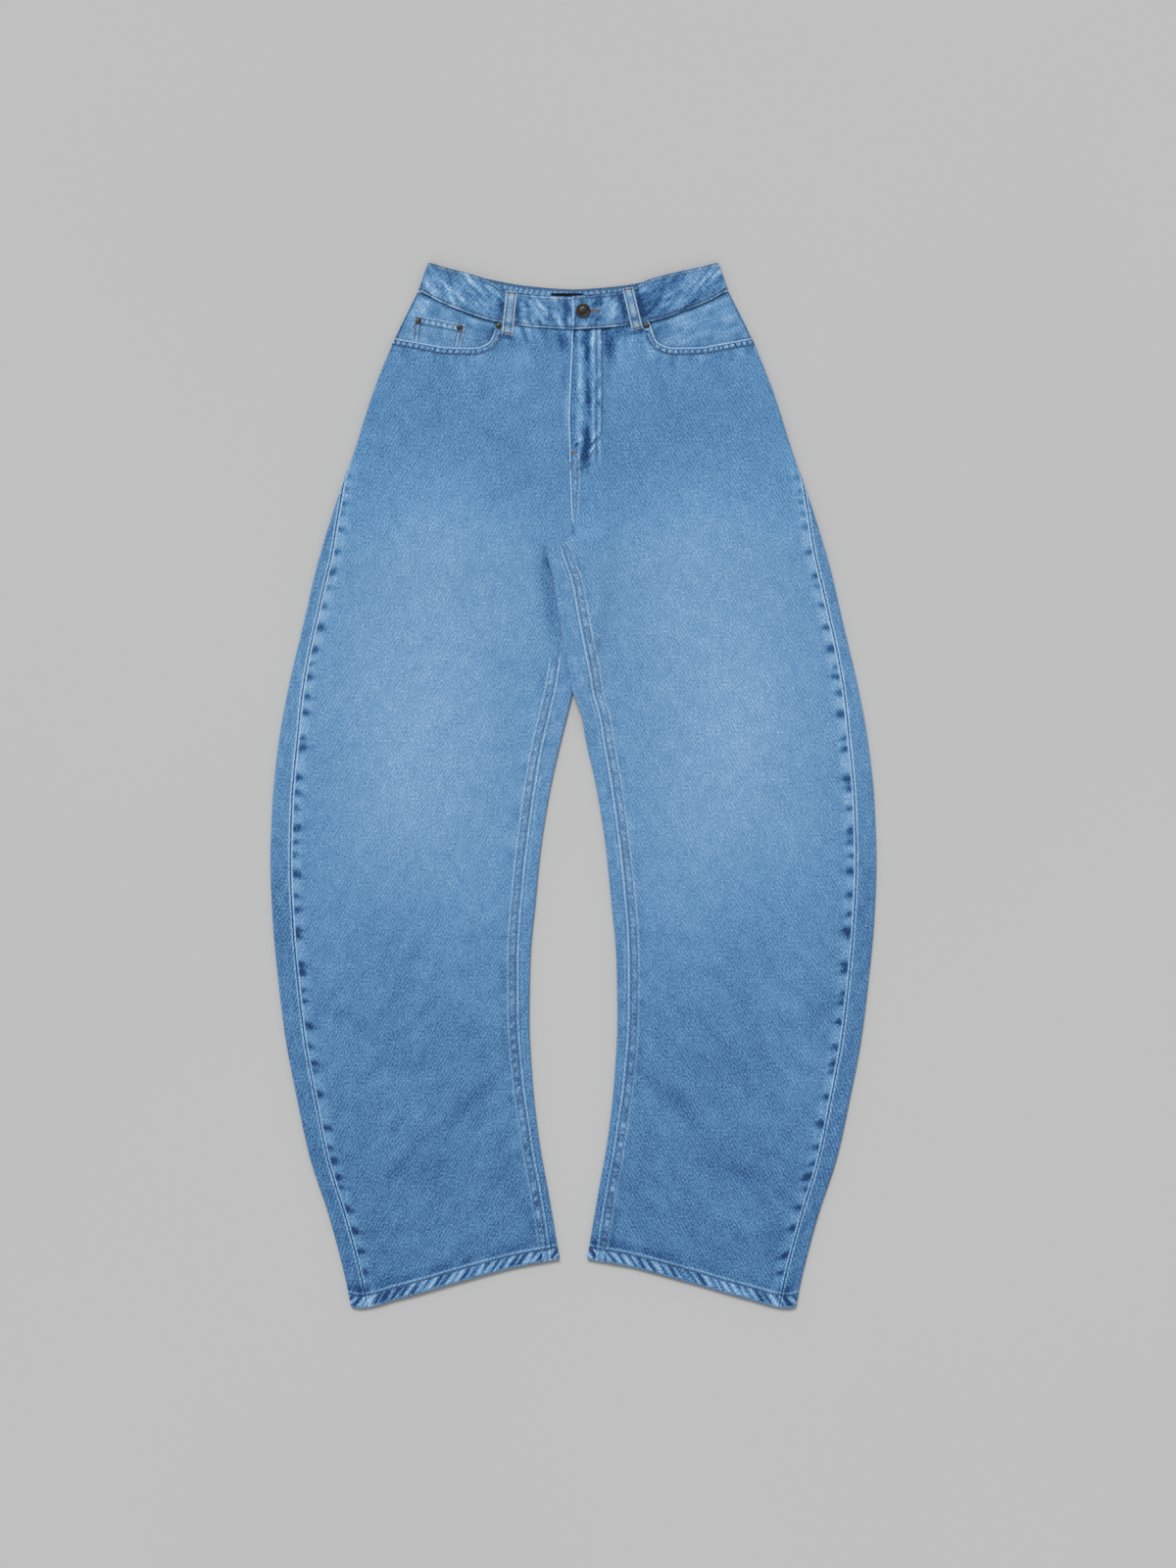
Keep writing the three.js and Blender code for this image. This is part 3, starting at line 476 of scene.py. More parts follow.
def on_front(leg, s, h):
    """A place on the front panel, at s from its inner edge."""
    radius = height(h) / 2
    start = math.pi * radius + outer_fold(h) - radius - leg.front_seam(h)
    return on_outer_fold(leg, start - s, h)


def back_lengths(leg, h):
    """Lengths of the back panel's three runs: outer wrap, underside and inner wrap."""
    radius = height(h) / 2
    outer = math.pi * radius / 2 + side_seam(h) - HALF_GAP
    flat = outer_fold(h) - radius - leg.inner_start(h)
    inner = leg.turn(h) * radius + leg.inner_straight(h)
    return outer, flat, inner


def on_back(leg, q, h):
    """A place on the back panel, at q from the side seam round the underside."""
    outer, flat, _ = back_lengths(leg, h)
    radius = height(h) / 2
    a, z, across, rise = on_outer_fold(leg, outer - q, h)
    out, up, in_across, in_rise = rolled(q - outer - flat, leg.turn(h), radius)
    in_a = leg.inner_start(h) - out
    inside = q > outer + flat
    in_z = up + leg.lift(in_a, h)
    return (
        np.where(inside, in_a, a), np.where(inside, in_z, z),
        np.where(inside, -in_across, across), np.where(inside, in_rise, rise),
    )


def to_points(leg, a, z, h):
    return np.stack([leg.side * a, h - MIDDLE + 0 * a, z + 0 * a], axis=-1)


def nearest(a, h, line):
    """Distance to a line drawn on the cloth, and the length along it to that place."""
    line = np.asarray(line, float)
    best = np.full(np.shape(a), 1e9)
    along = np.zeros(np.shape(a))
    travelled = 0.0
    for (a0, h0), (a1, h1) in zip(line[:-1], line[1:]):
        run = math.hypot(a1 - a0, h1 - h0)
        t = np.clip(((a - a0) * (a1 - a0) + (h - h0) * (h1 - h0)) / run ** 2, 0, 1)
        away = np.hypot(a - mix(a0, a1, t), h - mix(h0, h1, t))
        closer = away < best
        best = np.where(closer, away, best)
        along = np.where(closer, travelled + t * run, along)
        travelled += run
    return best, along


def drawn(curve, start, end, count=60):
    """Points of a curve h(a) as a line."""
    a = np.linspace(start, end, count)
    return np.stack([a, curve(a)], axis=-1)


MOUTH_LINE = drawn(lambda a: mouth_edge(a) - WAIST_GAP, MOUTH_CORNER, 196)
# Outer row of the stitching that holds the fly, and its inner row.
FLY_CURVE = [
    (31.3, 1057), (31.3, 952), (28.5, 940), (23.8, 929), (16.3, 918), (8.8, 908), (3.5, 904),
]
# How dark the dip beside the zip is: h, amount.
FLY_DIP = [
    (903, 0.6), (912, 1.3), (930, 1.3), (946, 1.2), (955, 0.95), (968, 0.9), (977, 1.1),
    (992, 1.15), (1001, 0.95), (1018, 0.8), (1028, 1.1), (1048, 1.3), (1058, 1.0),
]
fly_dip = through(FLY_DIP)
# Curls and dark places of the cloth on the fly: a, h, angle, half length, half width, amount.
FLY_MARKS = [
    (7, 938, 40, 5, 2.2, 0.9), (24, 943, 66, 7, 1.8, 0.8), (19, 927, 44, 8, 1.6, 0.8),
    (26, 934, 60, 5, 1.4, 0.7), (14, 939, 84, 9, 3.6, -0.9), (11, 920, 76, 9, 3.4, -1.3),
    (4, 933, 60, 5, 2.0, -0.7), (21, 934, 50, 6, 1.5, -0.8), (14, 909, 30, 6, 2.0, -0.6),
    (3, 1046, 86, 14, 2.6, -0.55), (2.5, 992, 84, 12, 2.0, -0.35), (2, 960, 90, 10, 1.8, -0.3),
    (8, 1010, 84, 22, 3.0, 0.3), (36, 1042, 86, 14, 4.0, -0.35), (22, 1050, 88, 10, 2.0, 0.35),
    (28, 1000, 90, 6, 1.6, -0.6), (28, 978, 90, 5, 1.6, -0.6), (28, 1024, 90, 5, 1.4, -0.4),
]


# Looks of the cloth at each place

# How far the whole cloth has gone towards brown.
AGED = 0.08


class Look:
    """What is done to a skin: height of folds, height of seams, colour, dirt and painted shade."""

    def __init__(self, shape, base_tone):
        self.sway = np.zeros(shape)
        self.relief = np.zeros(shape)
        self.base_tone = np.zeros(shape) + base_tone
        self.wear_and_shade = np.zeros(shape)
        self.brown = np.zeros(shape)

    # The three channels are the tone, which also holds painted shadow, the wear, which also holds
    # painted shade, and brown.
    def fade(self):
        layers = [self.base_tone, 0.5 + 0.5 * self.wear_and_shade, self.brown + AGED]
        return np.clip(np.stack(layers, axis=-1), 0, 1)

    def line(self, amount, relief, wear_and_shade, brown=0.0):
        """Raises or sinks the cloth, makes it paler or darker by wear and by painted shade, and
        browns it.
        """
        self.relief += relief * amount
        self.wear_and_shade += wear_and_shade * amount
        self.brown += brown * amount

    def lines(self, at, share, rows):
        """Soft lines beside a seam. Each row gives place, width, relief, wear with painted shade,
        and brown.
        """
        for place, width, *change in rows:
            self.line(share * bell(at, place, width), *change)

    def lay_on(self, other, share):
        """Adds another look where its share is not nought."""
        for name in ("sway", "relief", "wear_and_shade", "brown"):
            getattr(self, name)[...] += getattr(other, name) * share


def creases(a, h, table, shift):
    """Sum of soft creases, shifted a little so that no two panels have the same ones."""
    shifted = [
        (
            at_a + 9 * math.sin(shift + 1.7 * i), at_h + 14 * math.cos(2 * shift + 1.3 * i),
            angle + 7 * math.sin(3 * shift + i), length, width, depth,
        )
        for i, (at_a, at_h, angle, length, width, depth) in enumerate(table)
    ]
    return marks(a, h, shifted)


def broad_wash(a, h):
    base_tone = wash_by_height(h) + 0 * a
    for at_a, at_h, half_a, half_h, amount in WASH_PLACES:
        base_tone += amount * np.exp(-((a - at_a) / half_a) ** 2 - ((h - at_h) / half_h) ** 2)
    return base_tone


def gentle(a, h, seed):
    """Slow unevenness of the whole cloth."""
    return (
        0.22 * np.sin(a / 31 + h / 47 + seed) + 0.16 * np.sin(a / 17 - h / 61 + 2 * seed)
        + 0.1 * np.sin(a / 9.5 + h / 23 + 3 * seed)
    )


def felled_seam(look, s, h, width, relief, seed):
    """The double stitched strip beside an inseam or the rise."""
    strength = np.clip(relief / 0.5, 0, 1)
    inside = strength * plateau(s, 2.4, 3.4, width - 2.0, width - 1.0)
    rungs = np.clip(1.4 * mottled(h + 0.35 * s, s, 2.4, 7, seed), -1, 1)
    look.relief += relief * fall(s, width - 0.7, width + 0.7) + 0.2 * inside * rungs
    look.wear_and_shade += inside * ((0.28 + 0.3 * fall(h, 90, 420)) * rungs + 0.1)
    look.brown += inside * (0.12 - 0.1 * rungs)
    look.lines(s, strength, [
        (0.1, 0.5, 0, 0.6), (1.9, 0.65, -0.25, -0.6), (width - 1.1, 0.6, -0.2, -0.3, 0.2),
        (width + 0.6, 0.9, 0, 0.5),
    ])
    puckers = 0.2 * patchy(h, s, 8, 20, seed + 1)
    puckers = puckers - 0.3 * np.clip(patchy(h, s, 15, 60, seed + 2) - 0.15, 0, 1)
    puckers = strength * plateau(s, width + 1, width + 2, width + 4, width + 13) * puckers
    look.wear_and_shade += puckers
    look.sway += 0.5 * puckers


def side_seam_look(look, leg, e, h):
    """Front side of the side seam, at e from it: two worn lines and uneven dark puckers."""
    strength = fall(h, 885, 935)
    look.lines(e, strength, [(0.1, 0.7, 0, -1.0), (1.5, 0.85, 0.1, 1.05)])
    beside = ease(e, 1.9, 3.2)
    look.wear_and_shade += strength * beside * fall(e, 7, 16) * 0.3
    shift = 2.4 if leg.over else 0.8
    for i, (at_h, size) in enumerate(SIDE_PUCKERS):
        at = at_h + shift * math.sin(2.3 * i + leg.seed * 5)
        tall = 2.5 + 1.5 * size + 0.7 * math.sin(i * 1.9 + leg.seed)
        reach = 7.0 + 4.2 * size * (0.75 + 0.25 * math.sin(i * 2.7 + leg.seed))
        leant = h + 0.22 * math.sin(1.3 * i + leg.seed) * e
        spot = bell(leant, at, tall) * beside * fall(e, reach - 4, reach + 2.5)
        look.line(spot * size, -0.5, -1.4)
        wisp = bell(leant, at - 1.5, 2.4) * plateau(e, reach - 3, reach, reach + 2, reach + 9)
        look.line(wisp * size, -0.1, -0.3)


def hem_look(look, leg, a, rise):
    """The turned up hem, with the uneven leaning ropes of a washed hem."""
    band = fall(rise, HEM_DEPTH - 0.6, HEM_DEPTH + 0.6)
    lean = a + 0.85 * rise
    even_ropes = np.sin(0.6 * lean + 1.3 * patchy(lean, rise, 26, 60, leg.seed + 5))
    fine_ropes = mottled(lean, rise, 4.1, 24, leg.seed)
    rope = np.clip(1.7 * fine_ropes + 1.1 * even_ropes + 0.05, -1, 1)
    glint = bell(patchy(lean, rise, 5.0, 40, leg.seed + 7), 0, 0.14)
    fill = band * plateau(rise, 0.9, 2.6, HEM_DEPTH - 4, HEM_DEPTH - 2.4)
    look.relief += band * HEM_RELIEF + 0.35 * fill * rope
    look.wear_and_shade += fill * (0.85 * rope + 0.55 * glint)
    look.lines(rise, 1, [
        (HEM_DEPTH - 1.7, 0.8, -0.3, -0.75, 0.45), (HEM_DEPTH + 0.4, 0.9, 0, 0.75),
        (0.5, 0.9, -0.2, 0.3),
    ])
    above = plateau(rise, HEM_DEPTH + 1, HEM_DEPTH + 3, HEM_DEPTH + 5, HEM_DEPTH + 15)
    look.wear_and_shade -= above * 0.24 * (1 + patchy(a + 0.5 * rise, rise, 9, 16, leg.seed))


def hem_corner(look, off, rise, amount=1.0):
    """The bulky dark corner where a seam runs into the hem."""
    near = amount * fall(off, 3, 10)
    look.wear_and_shade -= near * bell(rise, HEM_DEPTH + 1, 6) * 0.7
    look.wear_and_shade += near * bell(rise, 3, 4) * 0.35


def hem_inseam(look, s, rise):
    """The stitched strip of the inseam, which runs on through the hem."""
    low = fall(rise, HEM_DEPTH - 4, HEM_DEPTH - 3)
    look.wear_and_shade += low * fall(s, 7.5, 8.8) * (0.5 - look.wear_and_shade)
    look.lines(s, low, [(0.5, 0.8, 0, 0.5), (2.2, 0.7, -0.1, -0.45, 0.3), (9.6, 0.9, -0.15, -0.7)])


def mouth_look(look, leg, a, h):
    """The hem of the pocket mouth: a worn edge and a ladder between two stitch rows."""
    away, along = nearest(a, h, MOUTH_LINE)
    on_panel = ease(a, MOUTH_CORNER - 10, MOUTH_CORNER - 2)
    rungs = np.sin(along * 1.02 + leg.seed + 0.9 * np.sin(along / 7)) + 0.3
    rungs = np.tanh(2.2 * rungs) * (0.8 + 0.35 * patchy(along, away, 9, 20, leg.seed))
    fill = on_panel * plateau(away, 2.2, 3.0, 5.4, 6.2)
    look.relief += 0.6 * on_panel * fall(away, 7.0, 8.3) + 0.2 * fill * rungs
    look.wear_and_shade += fill * (0.9 * rungs - 0.1)
    look.lines(away, on_panel, [
        (0.4, 1.0, -0.15, 1.2), (2.0, 0.6, -0.2, -0.7, 0.2), (6.8, 0.9, -0.15, -0.95, 0.3),
    ])
    below = on_panel * plateau(away, 7.6, 8.6, 10, 26)
    wave = mottled(along, away, 6, 40, leg.seed + 2)
    look.wear_and_shade += below * (0.38 * wave - 0.08)
    look.sway += below * 0.25 * wave


def fly_look(look, a, h):
    """The fly over the zip: a worn fold, the zip's ridge, a trough and the stitched edge."""
    s = a - LEFT.front_seam(h)
    open_part = ease(h, 906, 926)
    look.relief += 0.8 * open_part * fall(a, 30.5, 32.5) * (0.4 + 0.6 * ease(h, 905, 950))
    wobble = 0.9 * np.sin(h / 19) + 0.6 * np.sin(h / 7.3)
    teeth = np.tanh(2 * np.sin(h * 1.33 + np.sin(h / 11)))
    dip = fly_dip(h) * (0.85 + 0.3 * patchy(h, a, 7, 5, 2.2))
    spots = np.clip(1.5 * mottled(h, a, 6, 8, 4.1) + 0.5, -1, 1)
    away, _ = nearest(a, h, FLY_CURVE)
    look.lines(s, ease(h, 846, 852), [(0.7, 0.95, 0.1, 1.25)])
    look.lines(s, open_part, [(2.7, 0.9, -0.15, -0.6)])
    look.lines(s, open_part * (0.5 + 0.5 * teeth), [(5.6, 1.3, -0.1, -0.45)])
    look.lines(a, open_part, [
        (7.2 + 0.5 * wobble, 3.0, 0.45, 0.38), (21.4 + 0.3 * wobble, 1.7, 0.4, 0.45),
        (25.0, 0.8, -0.25, -0.5, 0.3),
    ])
    look.lines(a, open_part * dip, [(15.6 + 0.6 * wobble, 2.9, -0.7, -0.85)])
    look.lines(a, open_part * (0.5 + 0.5 * spots), [(28.2, 1.5, 0.3, 0.65)])
    look.lines(away, 1, [(0, 0.8, -0.25, -0.5, 0.3)])
    cover = open_part * ease(s, 1.5, 4) * fall(a, 30, 33)
    curls = marks(a, h, FLY_MARKS)
    look.wear_and_shade += cover * 0.26 * mottled(h, a, 9, 5, 1.3) + curls
    look.sway += 0.3 * curls * ease(s, 0, 3)


def waist_gather(look, a, h, seed):
    """Short puckers that hang from the waist seam."""
    drop = front_top(a) - h
    inner = fall(a, MOUTH_CORNER - 9, MOUTH_CORNER - 4)
    wave = mottled(a + 0.25 * drop, drop, 5.5, 34, seed)
    near_seam = inner * fall(drop, 6, 34)
    look.sway += near_seam * 0.35 * wave
    look.wear_and_shade += near_seam * (0.5 * wave - 0.06)
    look.lines(drop, inner, [(0, 1.2, -0.2, -0.6)])


def calm(a, h):
    """Less of a fold where one leg lies on the other."""
    return 1 - 0.85 * bell(h, 775, 75) * fall(a, 20, 45)


def front_look(leg, s, h):
    a = on_front(leg, s, h)[0]
    look = Look(np.shape(a), broad_wash(a, h))
    # Painted shade in crease dips and painted shadow beside overlapping edges, among patches of
    # wash.
    look.base_tone += marks(a, h, leg.shades)
    look.brown -= AGED * ease(h, 790, 890)
    soft = creases(a, h, FRONT_CREASES, leg.seed)
    slow = gentle(a, h, leg.seed)
    e = front_length(leg, h) - s
    middle = ease(s, 10, 34) * ease(e, 6, 30)
    look.sway += middle * (soft * 1.1 + 0.8 * slow)
    look.wear_and_shade += middle * (0.08 * soft + 0.05 * slow)
    across, along = leaning(a, h, 40)
    cloudy = 0.02 + 0.03 * fall(h, 300, 470)
    look.base_tone += cloudy * mottled(along, across, 30, 11, leg.seed)
    look.sway *= calm(a, h)
    look.relief -= 0.3 * bell(s, 0, 0.5)
    rise = h - hem_edge(a)
    relief = leg.strip_relief(h) * ease(rise, HEM_DEPTH - 2, HEM_DEPTH + 1)
    felled_seam(look, s, h, leg.strip_width(h), relief, leg.seed)
    side_seam_look(look, leg, e, h)
    hem = Look(np.shape(a), 0)
    hem_look(hem, leg, a, rise)
    hem_corner(hem, e, rise)
    hem_inseam(hem, s, rise)
    look.lay_on(hem, fall(h, 100, 130))
    mouth = Look(np.shape(a), 0)
    mouth_look(mouth, leg, a, h)
    waist_gather(mouth, a, h, leg.seed)
    look.lay_on(mouth, ease(h, 975, 1000))
    if leg.over:
        fly_look(look, a, h)
    return look


def back_look(leg, q, h):
    a, _, across, up = on_back(leg, q, h)
    outer, flat, inner = back_lengths(leg, h)
    look = Look(np.shape(a), broad_wash(np.minimum(a, 205), h) - 0.01)
    from_end = outer + flat + inner - q
    on_top = ease(up, 0.2, 0.8)
    below = 1 - on_top
    outside = on_top * (q < outer)
    inside = on_top * (q >= outer)
    rise = h - hem_edge(np.clip(a, 14.5, 241))
    look.base_tone -= outside * (0.03 + 0.12 * plateau(h, 330, 440, 830, 930))
    cloudy = outside * mottled(q, h, 5, 12, leg.seed)
    cloudy += inside * mottled(from_end, h, 5, 10, leg.seed)
    look.wear_and_shade += 0.13 * cloudy * fall(h, 880, 930)
    look.lines(q, 1, [(0, 0.5, -0.1, 0)])
    look.lines(q, fall(h, 885, 935), [(1.4, 0.85, 0.3, 1.0), (0, 0.6, 0, -0.9)])
    inseam = fall(h, leg.inseam_top - 12, leg.inseam_top)
    broken = ease(patchy(h, 0 * h, 40, 9, leg.seed), 0, 0.5)
    look.lines(from_end, 1, [(0, 0.5, -0.2, 0)])
    look.lines(from_end, inseam, [(0.7, 0.7, 0.25, 1.0), (2.3, 0.8, -0.15, -0.3)])
    look.lines(from_end, inseam * broken, [(4.6, 0.7, 0, 0.35)])
    look.lines(np.abs(across), fall(h, 900, 960), [(1, 0.3, 0, 0.2)])
    soft = creases(a, h, FRONT_CREASES, leg.seed + 4)
    flat_part = below * ease(q - outer, 4, 30) * ease(outer + flat - q, 4, 30)
    look.sway -= flat_part * np.abs(soft) * 0.8 * calm(a, h)
    look.wear_and_shade += flat_part * 0.16 * soft
    hem = Look(np.shape(a), 0)
    hem_look(hem, leg, a, rise)
    hem_corner(hem, q, rise)
    hem_corner(hem, from_end, rise, 0.7)
    hem.relief *= on_top
    hem.sway *= on_top
    look.lay_on(hem, fall(h, 100, 130))
    centre = below * (h > leg.crotch[2]) * fall(from_end, 8, 9)
    look.lines(from_end, centre, [(1.5, 0.6, 0, -0.3)])
    return look


# Meshes

def settle(edge, across, columns):
    """Heights where columns of places reach an edge that runs across."""
    h = np.full(columns, 900.0 if edge(100.0) > 500 else 30.0)
    for _ in range(12):
        h = edge(across(h))
    return h


def fan(low, high, shares):
    return low[None, :] + (high - low)[None, :] * np.asarray(shares)[:, None]


def even(count):
    return np.linspace(0, 1, count, endpoint=False)


def faces_of_shell(rows, columns, step):
    """Faces of a closed wall whose inner grid has every step-th row and column."""
    in_rows = (rows - 1) // step + 1
    in_columns = (columns - 1) // step + 1
    first_inner = rows * columns
    out = lambda r, c: r * columns + c
    into = lambda r, c: first_inner + r * in_columns + c
    r, c = np.meshgrid(np.arange(rows - 1), np.arange(columns - 1), indexing="ij")
    quads = np.stack([out(r, c), out(r, c + 1), out(r + 1, c + 1), out(r + 1, c)], -1)
    faces = quads.reshape(-1, 4).tolist()
    r, c = np.meshgrid(np.arange(in_rows - 1), np.arange(in_columns - 1), indexing="ij")
    quads = np.stack([into(r, c), into(r + 1, c), into(r + 1, c + 1), into(r, c + 1)], -1)
    faces += quads.reshape(-1, 4).tolist()
    for c in range(in_columns - 1):
        top = [out(0, c * step + k) for k in range(step, -1, -1)]
        faces.append(top + [into(0, c), into(0, c + 1)])
        low = [out(rows - 1, c * step + k) for k in range(step + 1)]
        faces.append(low + [into(in_rows - 1, c + 1), into(in_rows - 1, c)])
    for r in range(in_rows - 1):
        near = [out(r * step + k, 0) for k in range(step + 1)]
        faces.append(near + [into(r + 1, 0), into(r, 0)])
        far = [out(r * step + k, columns - 1) for k in range(step, -1, -1)]
        faces.append(far + [into(r, in_columns - 1), into(r + 1, in_columns - 1)])
    return faces


def turned_out(points, faces):
    """Faces turned so that they point out of the closed skin."""
    volume = 0.0
    for corners in (3, 4, 5, 6):
        group = np.array([face for face in faces if len(face) == corners])
        if not len(group):
            continue
        for k in range(1, corners - 1):
            p, q, r = points[group[:, 0]], points[group[:, k]], points[group[:, k + 1]]
            volume += float(np.einsum("ij,ij->", p, np.cross(q, r)))
    return faces if volume > 0 else [face[::-1] for face in faces]


def add_mesh(name, points, faces, material, uv=None, fade=None):
    """A new object with its mesh in metres, a cloth map and an attribute of fade and painted
    shade.
    """
    mesh = bpy.data.meshes.new(name)
    mesh.from_pydata((points * MM).tolist(), [], faces)
    if uv is not None:
        layer = mesh.uv_layers.new(name="Cloth")
        corners = np.empty(len(mesh.loops), int)
        mesh.loops.foreach_get("vertex_index", corners)
        layer.data.foreach_set("uv", (uv[corners] * MM).ravel())
    if fade is not None:
        tint = mesh.attributes.new("Fade", "FLOAT_VECTOR", "POINT")
        tint.data.foreach_set("vector", fade.ravel())
    mesh.materials.append(material)
    piece = bpy.data.objects.new(name, mesh)
    bpy.context.scene.collection.objects.link(piece)
    smooth(piece)
    return piece


def smooth(piece, angle=50):
    bpy.ops.object.select_all(action="DESELECT")
    bpy.context.view_layer.objects.active = piece
    piece.select_set(True)
    bpy.ops.object.shade_smooth_by_angle(angle=math.radians(angle))
    piece.select_set(False)


def cloth_shell(name, leg, place, h, look, uv, thickness, material, step=2, lining=None):
    """A closed shell of cloth from a grid of places and its look."""
    a, z, across, up = place
    skin = lambda out: to_points(leg, a + across * out, z + up * out, h)
    thin = lambda grid: grid[::step, ::step]
    join = lambda *grids: np.concatenate([grid.reshape(-1, grid.shape[-1]) for grid in grids])
    outer = skin(look.sway + look.relief)
    points = join(outer, thin(skin(look.sway - thickness)))
    faces = turned_out(points, faces_of_shell(*outer.shape[:2], step))
    maps = np.stack(np.broadcast_arrays(*uv), axis=-1)
    fades_and_shades = join(look.fade(), thin((lining or look).fade()))
    return add_mesh(name, points, faces, material, join(maps, thin(maps)), fades_and_shades)


def dress(piece, node):
    """Hides the solid of the node that a piece stands for, and hangs the piece from the root."""
    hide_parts(node)
    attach(piece, "root")


def lay(piece, node):
    """Does the same for a cloth piece."""
    dress(piece, node)


def sew(node, leg, place, h, look, along, rests_on, thickness=CLOTH, up=None, **shell):
    """A denim piece over its node. Along and up are its place on the cloth map."""
    uv = (leg.cloth_start + along, h if up is None else up)
    material = shared("washed_denim", denim)
    name = f"denim_{node}"
    piece = cloth_shell(name, leg, place, h, look, uv, thickness, material, **shell)
    lay(piece, node)


def facing_up(a, z):
    """Places whose skin looks straight up."""
    return a, z, 0 * a, 0 * a + 1


def from_ends(share, size):
    """Distance to the nearer end of a length."""
    return np.minimum(share, 1 - share) * size


# Panels

def front_columns(leg):
    """Distances from the inner edge, as a fixed part and a share of the free width."""
    near = [0, 0.5, 1, 1.6, 2.2]
    reach = 44 if leg.over else 24
    near += list(np.arange(3, reach + 0.01, 1.0 if leg.over else 1.05))
    near_end = near[-1]
    far = [22, 19, 16.5, 14.2, 12.2, 10.5, 9, 7.6, 6.3, 5.1, 4.1, 3.2, 2.5, 1.9, 1.3, 0.8, 0.4, 0]
    middle = np.linspace(0, 1, 56 if leg.over else 66)[1:-1]
    base = near + [near_end] * len(middle) + [near_end + far[0] - x for x in far]
    share = [0] * len(near) + list(middle) + [1] * len(far)
    if len(base) % 2 == 0:
        base.insert(len(near), near_end)
        share.insert(len(near), middle[0] / 2)
    return np.array(base), np.array(share), near_end + far[0]


def leg_heights(top):
    """Heights of the straight rows, closer together in the crotch."""
    low = np.arange(STRAIGHT_FROM, 800, 1.95)
    crotch = np.arange(low[-1] + 1.2, 850, 0.85)
    high = np.arange(crotch[-1] + 1.5, top, 1.95)
    return np.concatenate([low, crotch, high])


def panel_heights(across, columns, straight_top, upper):
    """Rows of heights from the hem up: along it, straight across, then to the upper edges."""
    straight = leg_heights(straight_top)
    hem = settle(hem_edge, across, columns)
    hem_top = settle(lambda a: hem_edge(a) + HEM_ROWS, across, columns)
    rows = [
        fan(hem, hem_top, even(14)),
        fan(hem_top, np.full(columns, STRAIGHT_FROM), even(29)),
        np.repeat(straight[:, None], columns, axis=1),
    ]
    low = np.full(columns, straight[-1] + 1.9)
    for edge, shares in upper:
        high = settle(edge, across, columns)
        rows.append(fan(low, high, shares))
        low = high
    h = np.concatenate(rows)
    return np.delete(h, 60, axis=0) if len(h) % 2 == 0 else h


def front_panel(leg):
    base, share, kept = front_columns(leg)
    place_at = lambda h: base + share * (front_length(leg, h) - kept)
    across = lambda h: on_front(leg, place_at(h), h)[0]
    upper = [(lambda a: front_top(a) - 12, even(34)), (front_top, np.linspace(0, 1, 13))]
    h = panel_heights(across, len(base), 985, upper)
    s = place_at(h)
    place, look = on_front(leg, s, h), front_look(leg, s, h)
    along = s + leg.front_seam(h)
    sew(f"front_{leg.name}", leg, place, h, look, along, [f"back_{leg.name}"])


def back_stations(leg, h_rows, counts=(30, 34, 26)):
    """Distances along the back for rows of heights, one height per column."""
    outer_n, flat_n, inner_n = counts
    share = [
        (0, np.linspace(0, 1, outer_n) ** 1.15),
        (1, np.linspace(0, 1, flat_n + 1)[1:]),
        (2, 1 - (1 - np.linspace(0, 1, inner_n + 1)[1:]) ** 1.1),
    ]
    run = np.concatenate([np.full(len(values), kind) for kind, values in share])
    part = np.concatenate([values for _, values in share])
    lengths = back_lengths(leg, h_rows)
    start = [0 * lengths[0], lengths[0], lengths[0] + lengths[1]]
    q = 0
    for kind in range(3):
        q = q + np.where(run == kind, start[kind] + part * lengths[kind], 0)
    return q


def back_panel(leg):
    counts = (30, 35, 26)
    across = lambda h: on_back(leg, back_stations(leg, h, counts), h)[0]
    upper = [(lambda a: yoke_seam(a) - HALF_GAP, np.linspace(0, 1, 36))]
    h = panel_heights(across, sum(counts), 960, upper)
    q = back_stations(leg, h, counts)
    place, look = on_back(leg, q, h), back_look(leg, q, h)
    sew(f"back_{leg.name}", leg, place, h, look, BACK_MAP + q, [])


def yoke(leg):
    counts = (10, 50, 9)
    across = lambda h: on_back(leg, back_stations(leg, h, counts), h)[0]
    low = settle(lambda a: yoke_seam(a) + HALF_GAP, across, sum(counts))
    high = settle(lambda a: back_waist(a) - WAIST_GAP, across, sum(counts))
    h = fan(low, high, np.linspace(0, 1, 41))
    q = back_stations(leg, h, counts)
    place = on_back(leg, q, h)
    look = Look(h.shape, 0.55)
    above = h - low
    look.lines(above, 1, [
        (0, 0.8, -0.3, 0), (1.6, 0.7, 0, -0.35, 0.2), (7.6, 0.7, 0, -0.35, 0.2),
    ])
    look.wear_and_shade += 0.25 * uneven(place[0] * 0.6, 1.2) * fall(above, 6, 14)
    look.wear_and_shade += 0.12 * gentle(place[0], h, 2)
    sew(f"yoke_{leg.name}", leg, place, h, look, BACK_MAP + q, [f"back_{leg.name}"])


# Waist

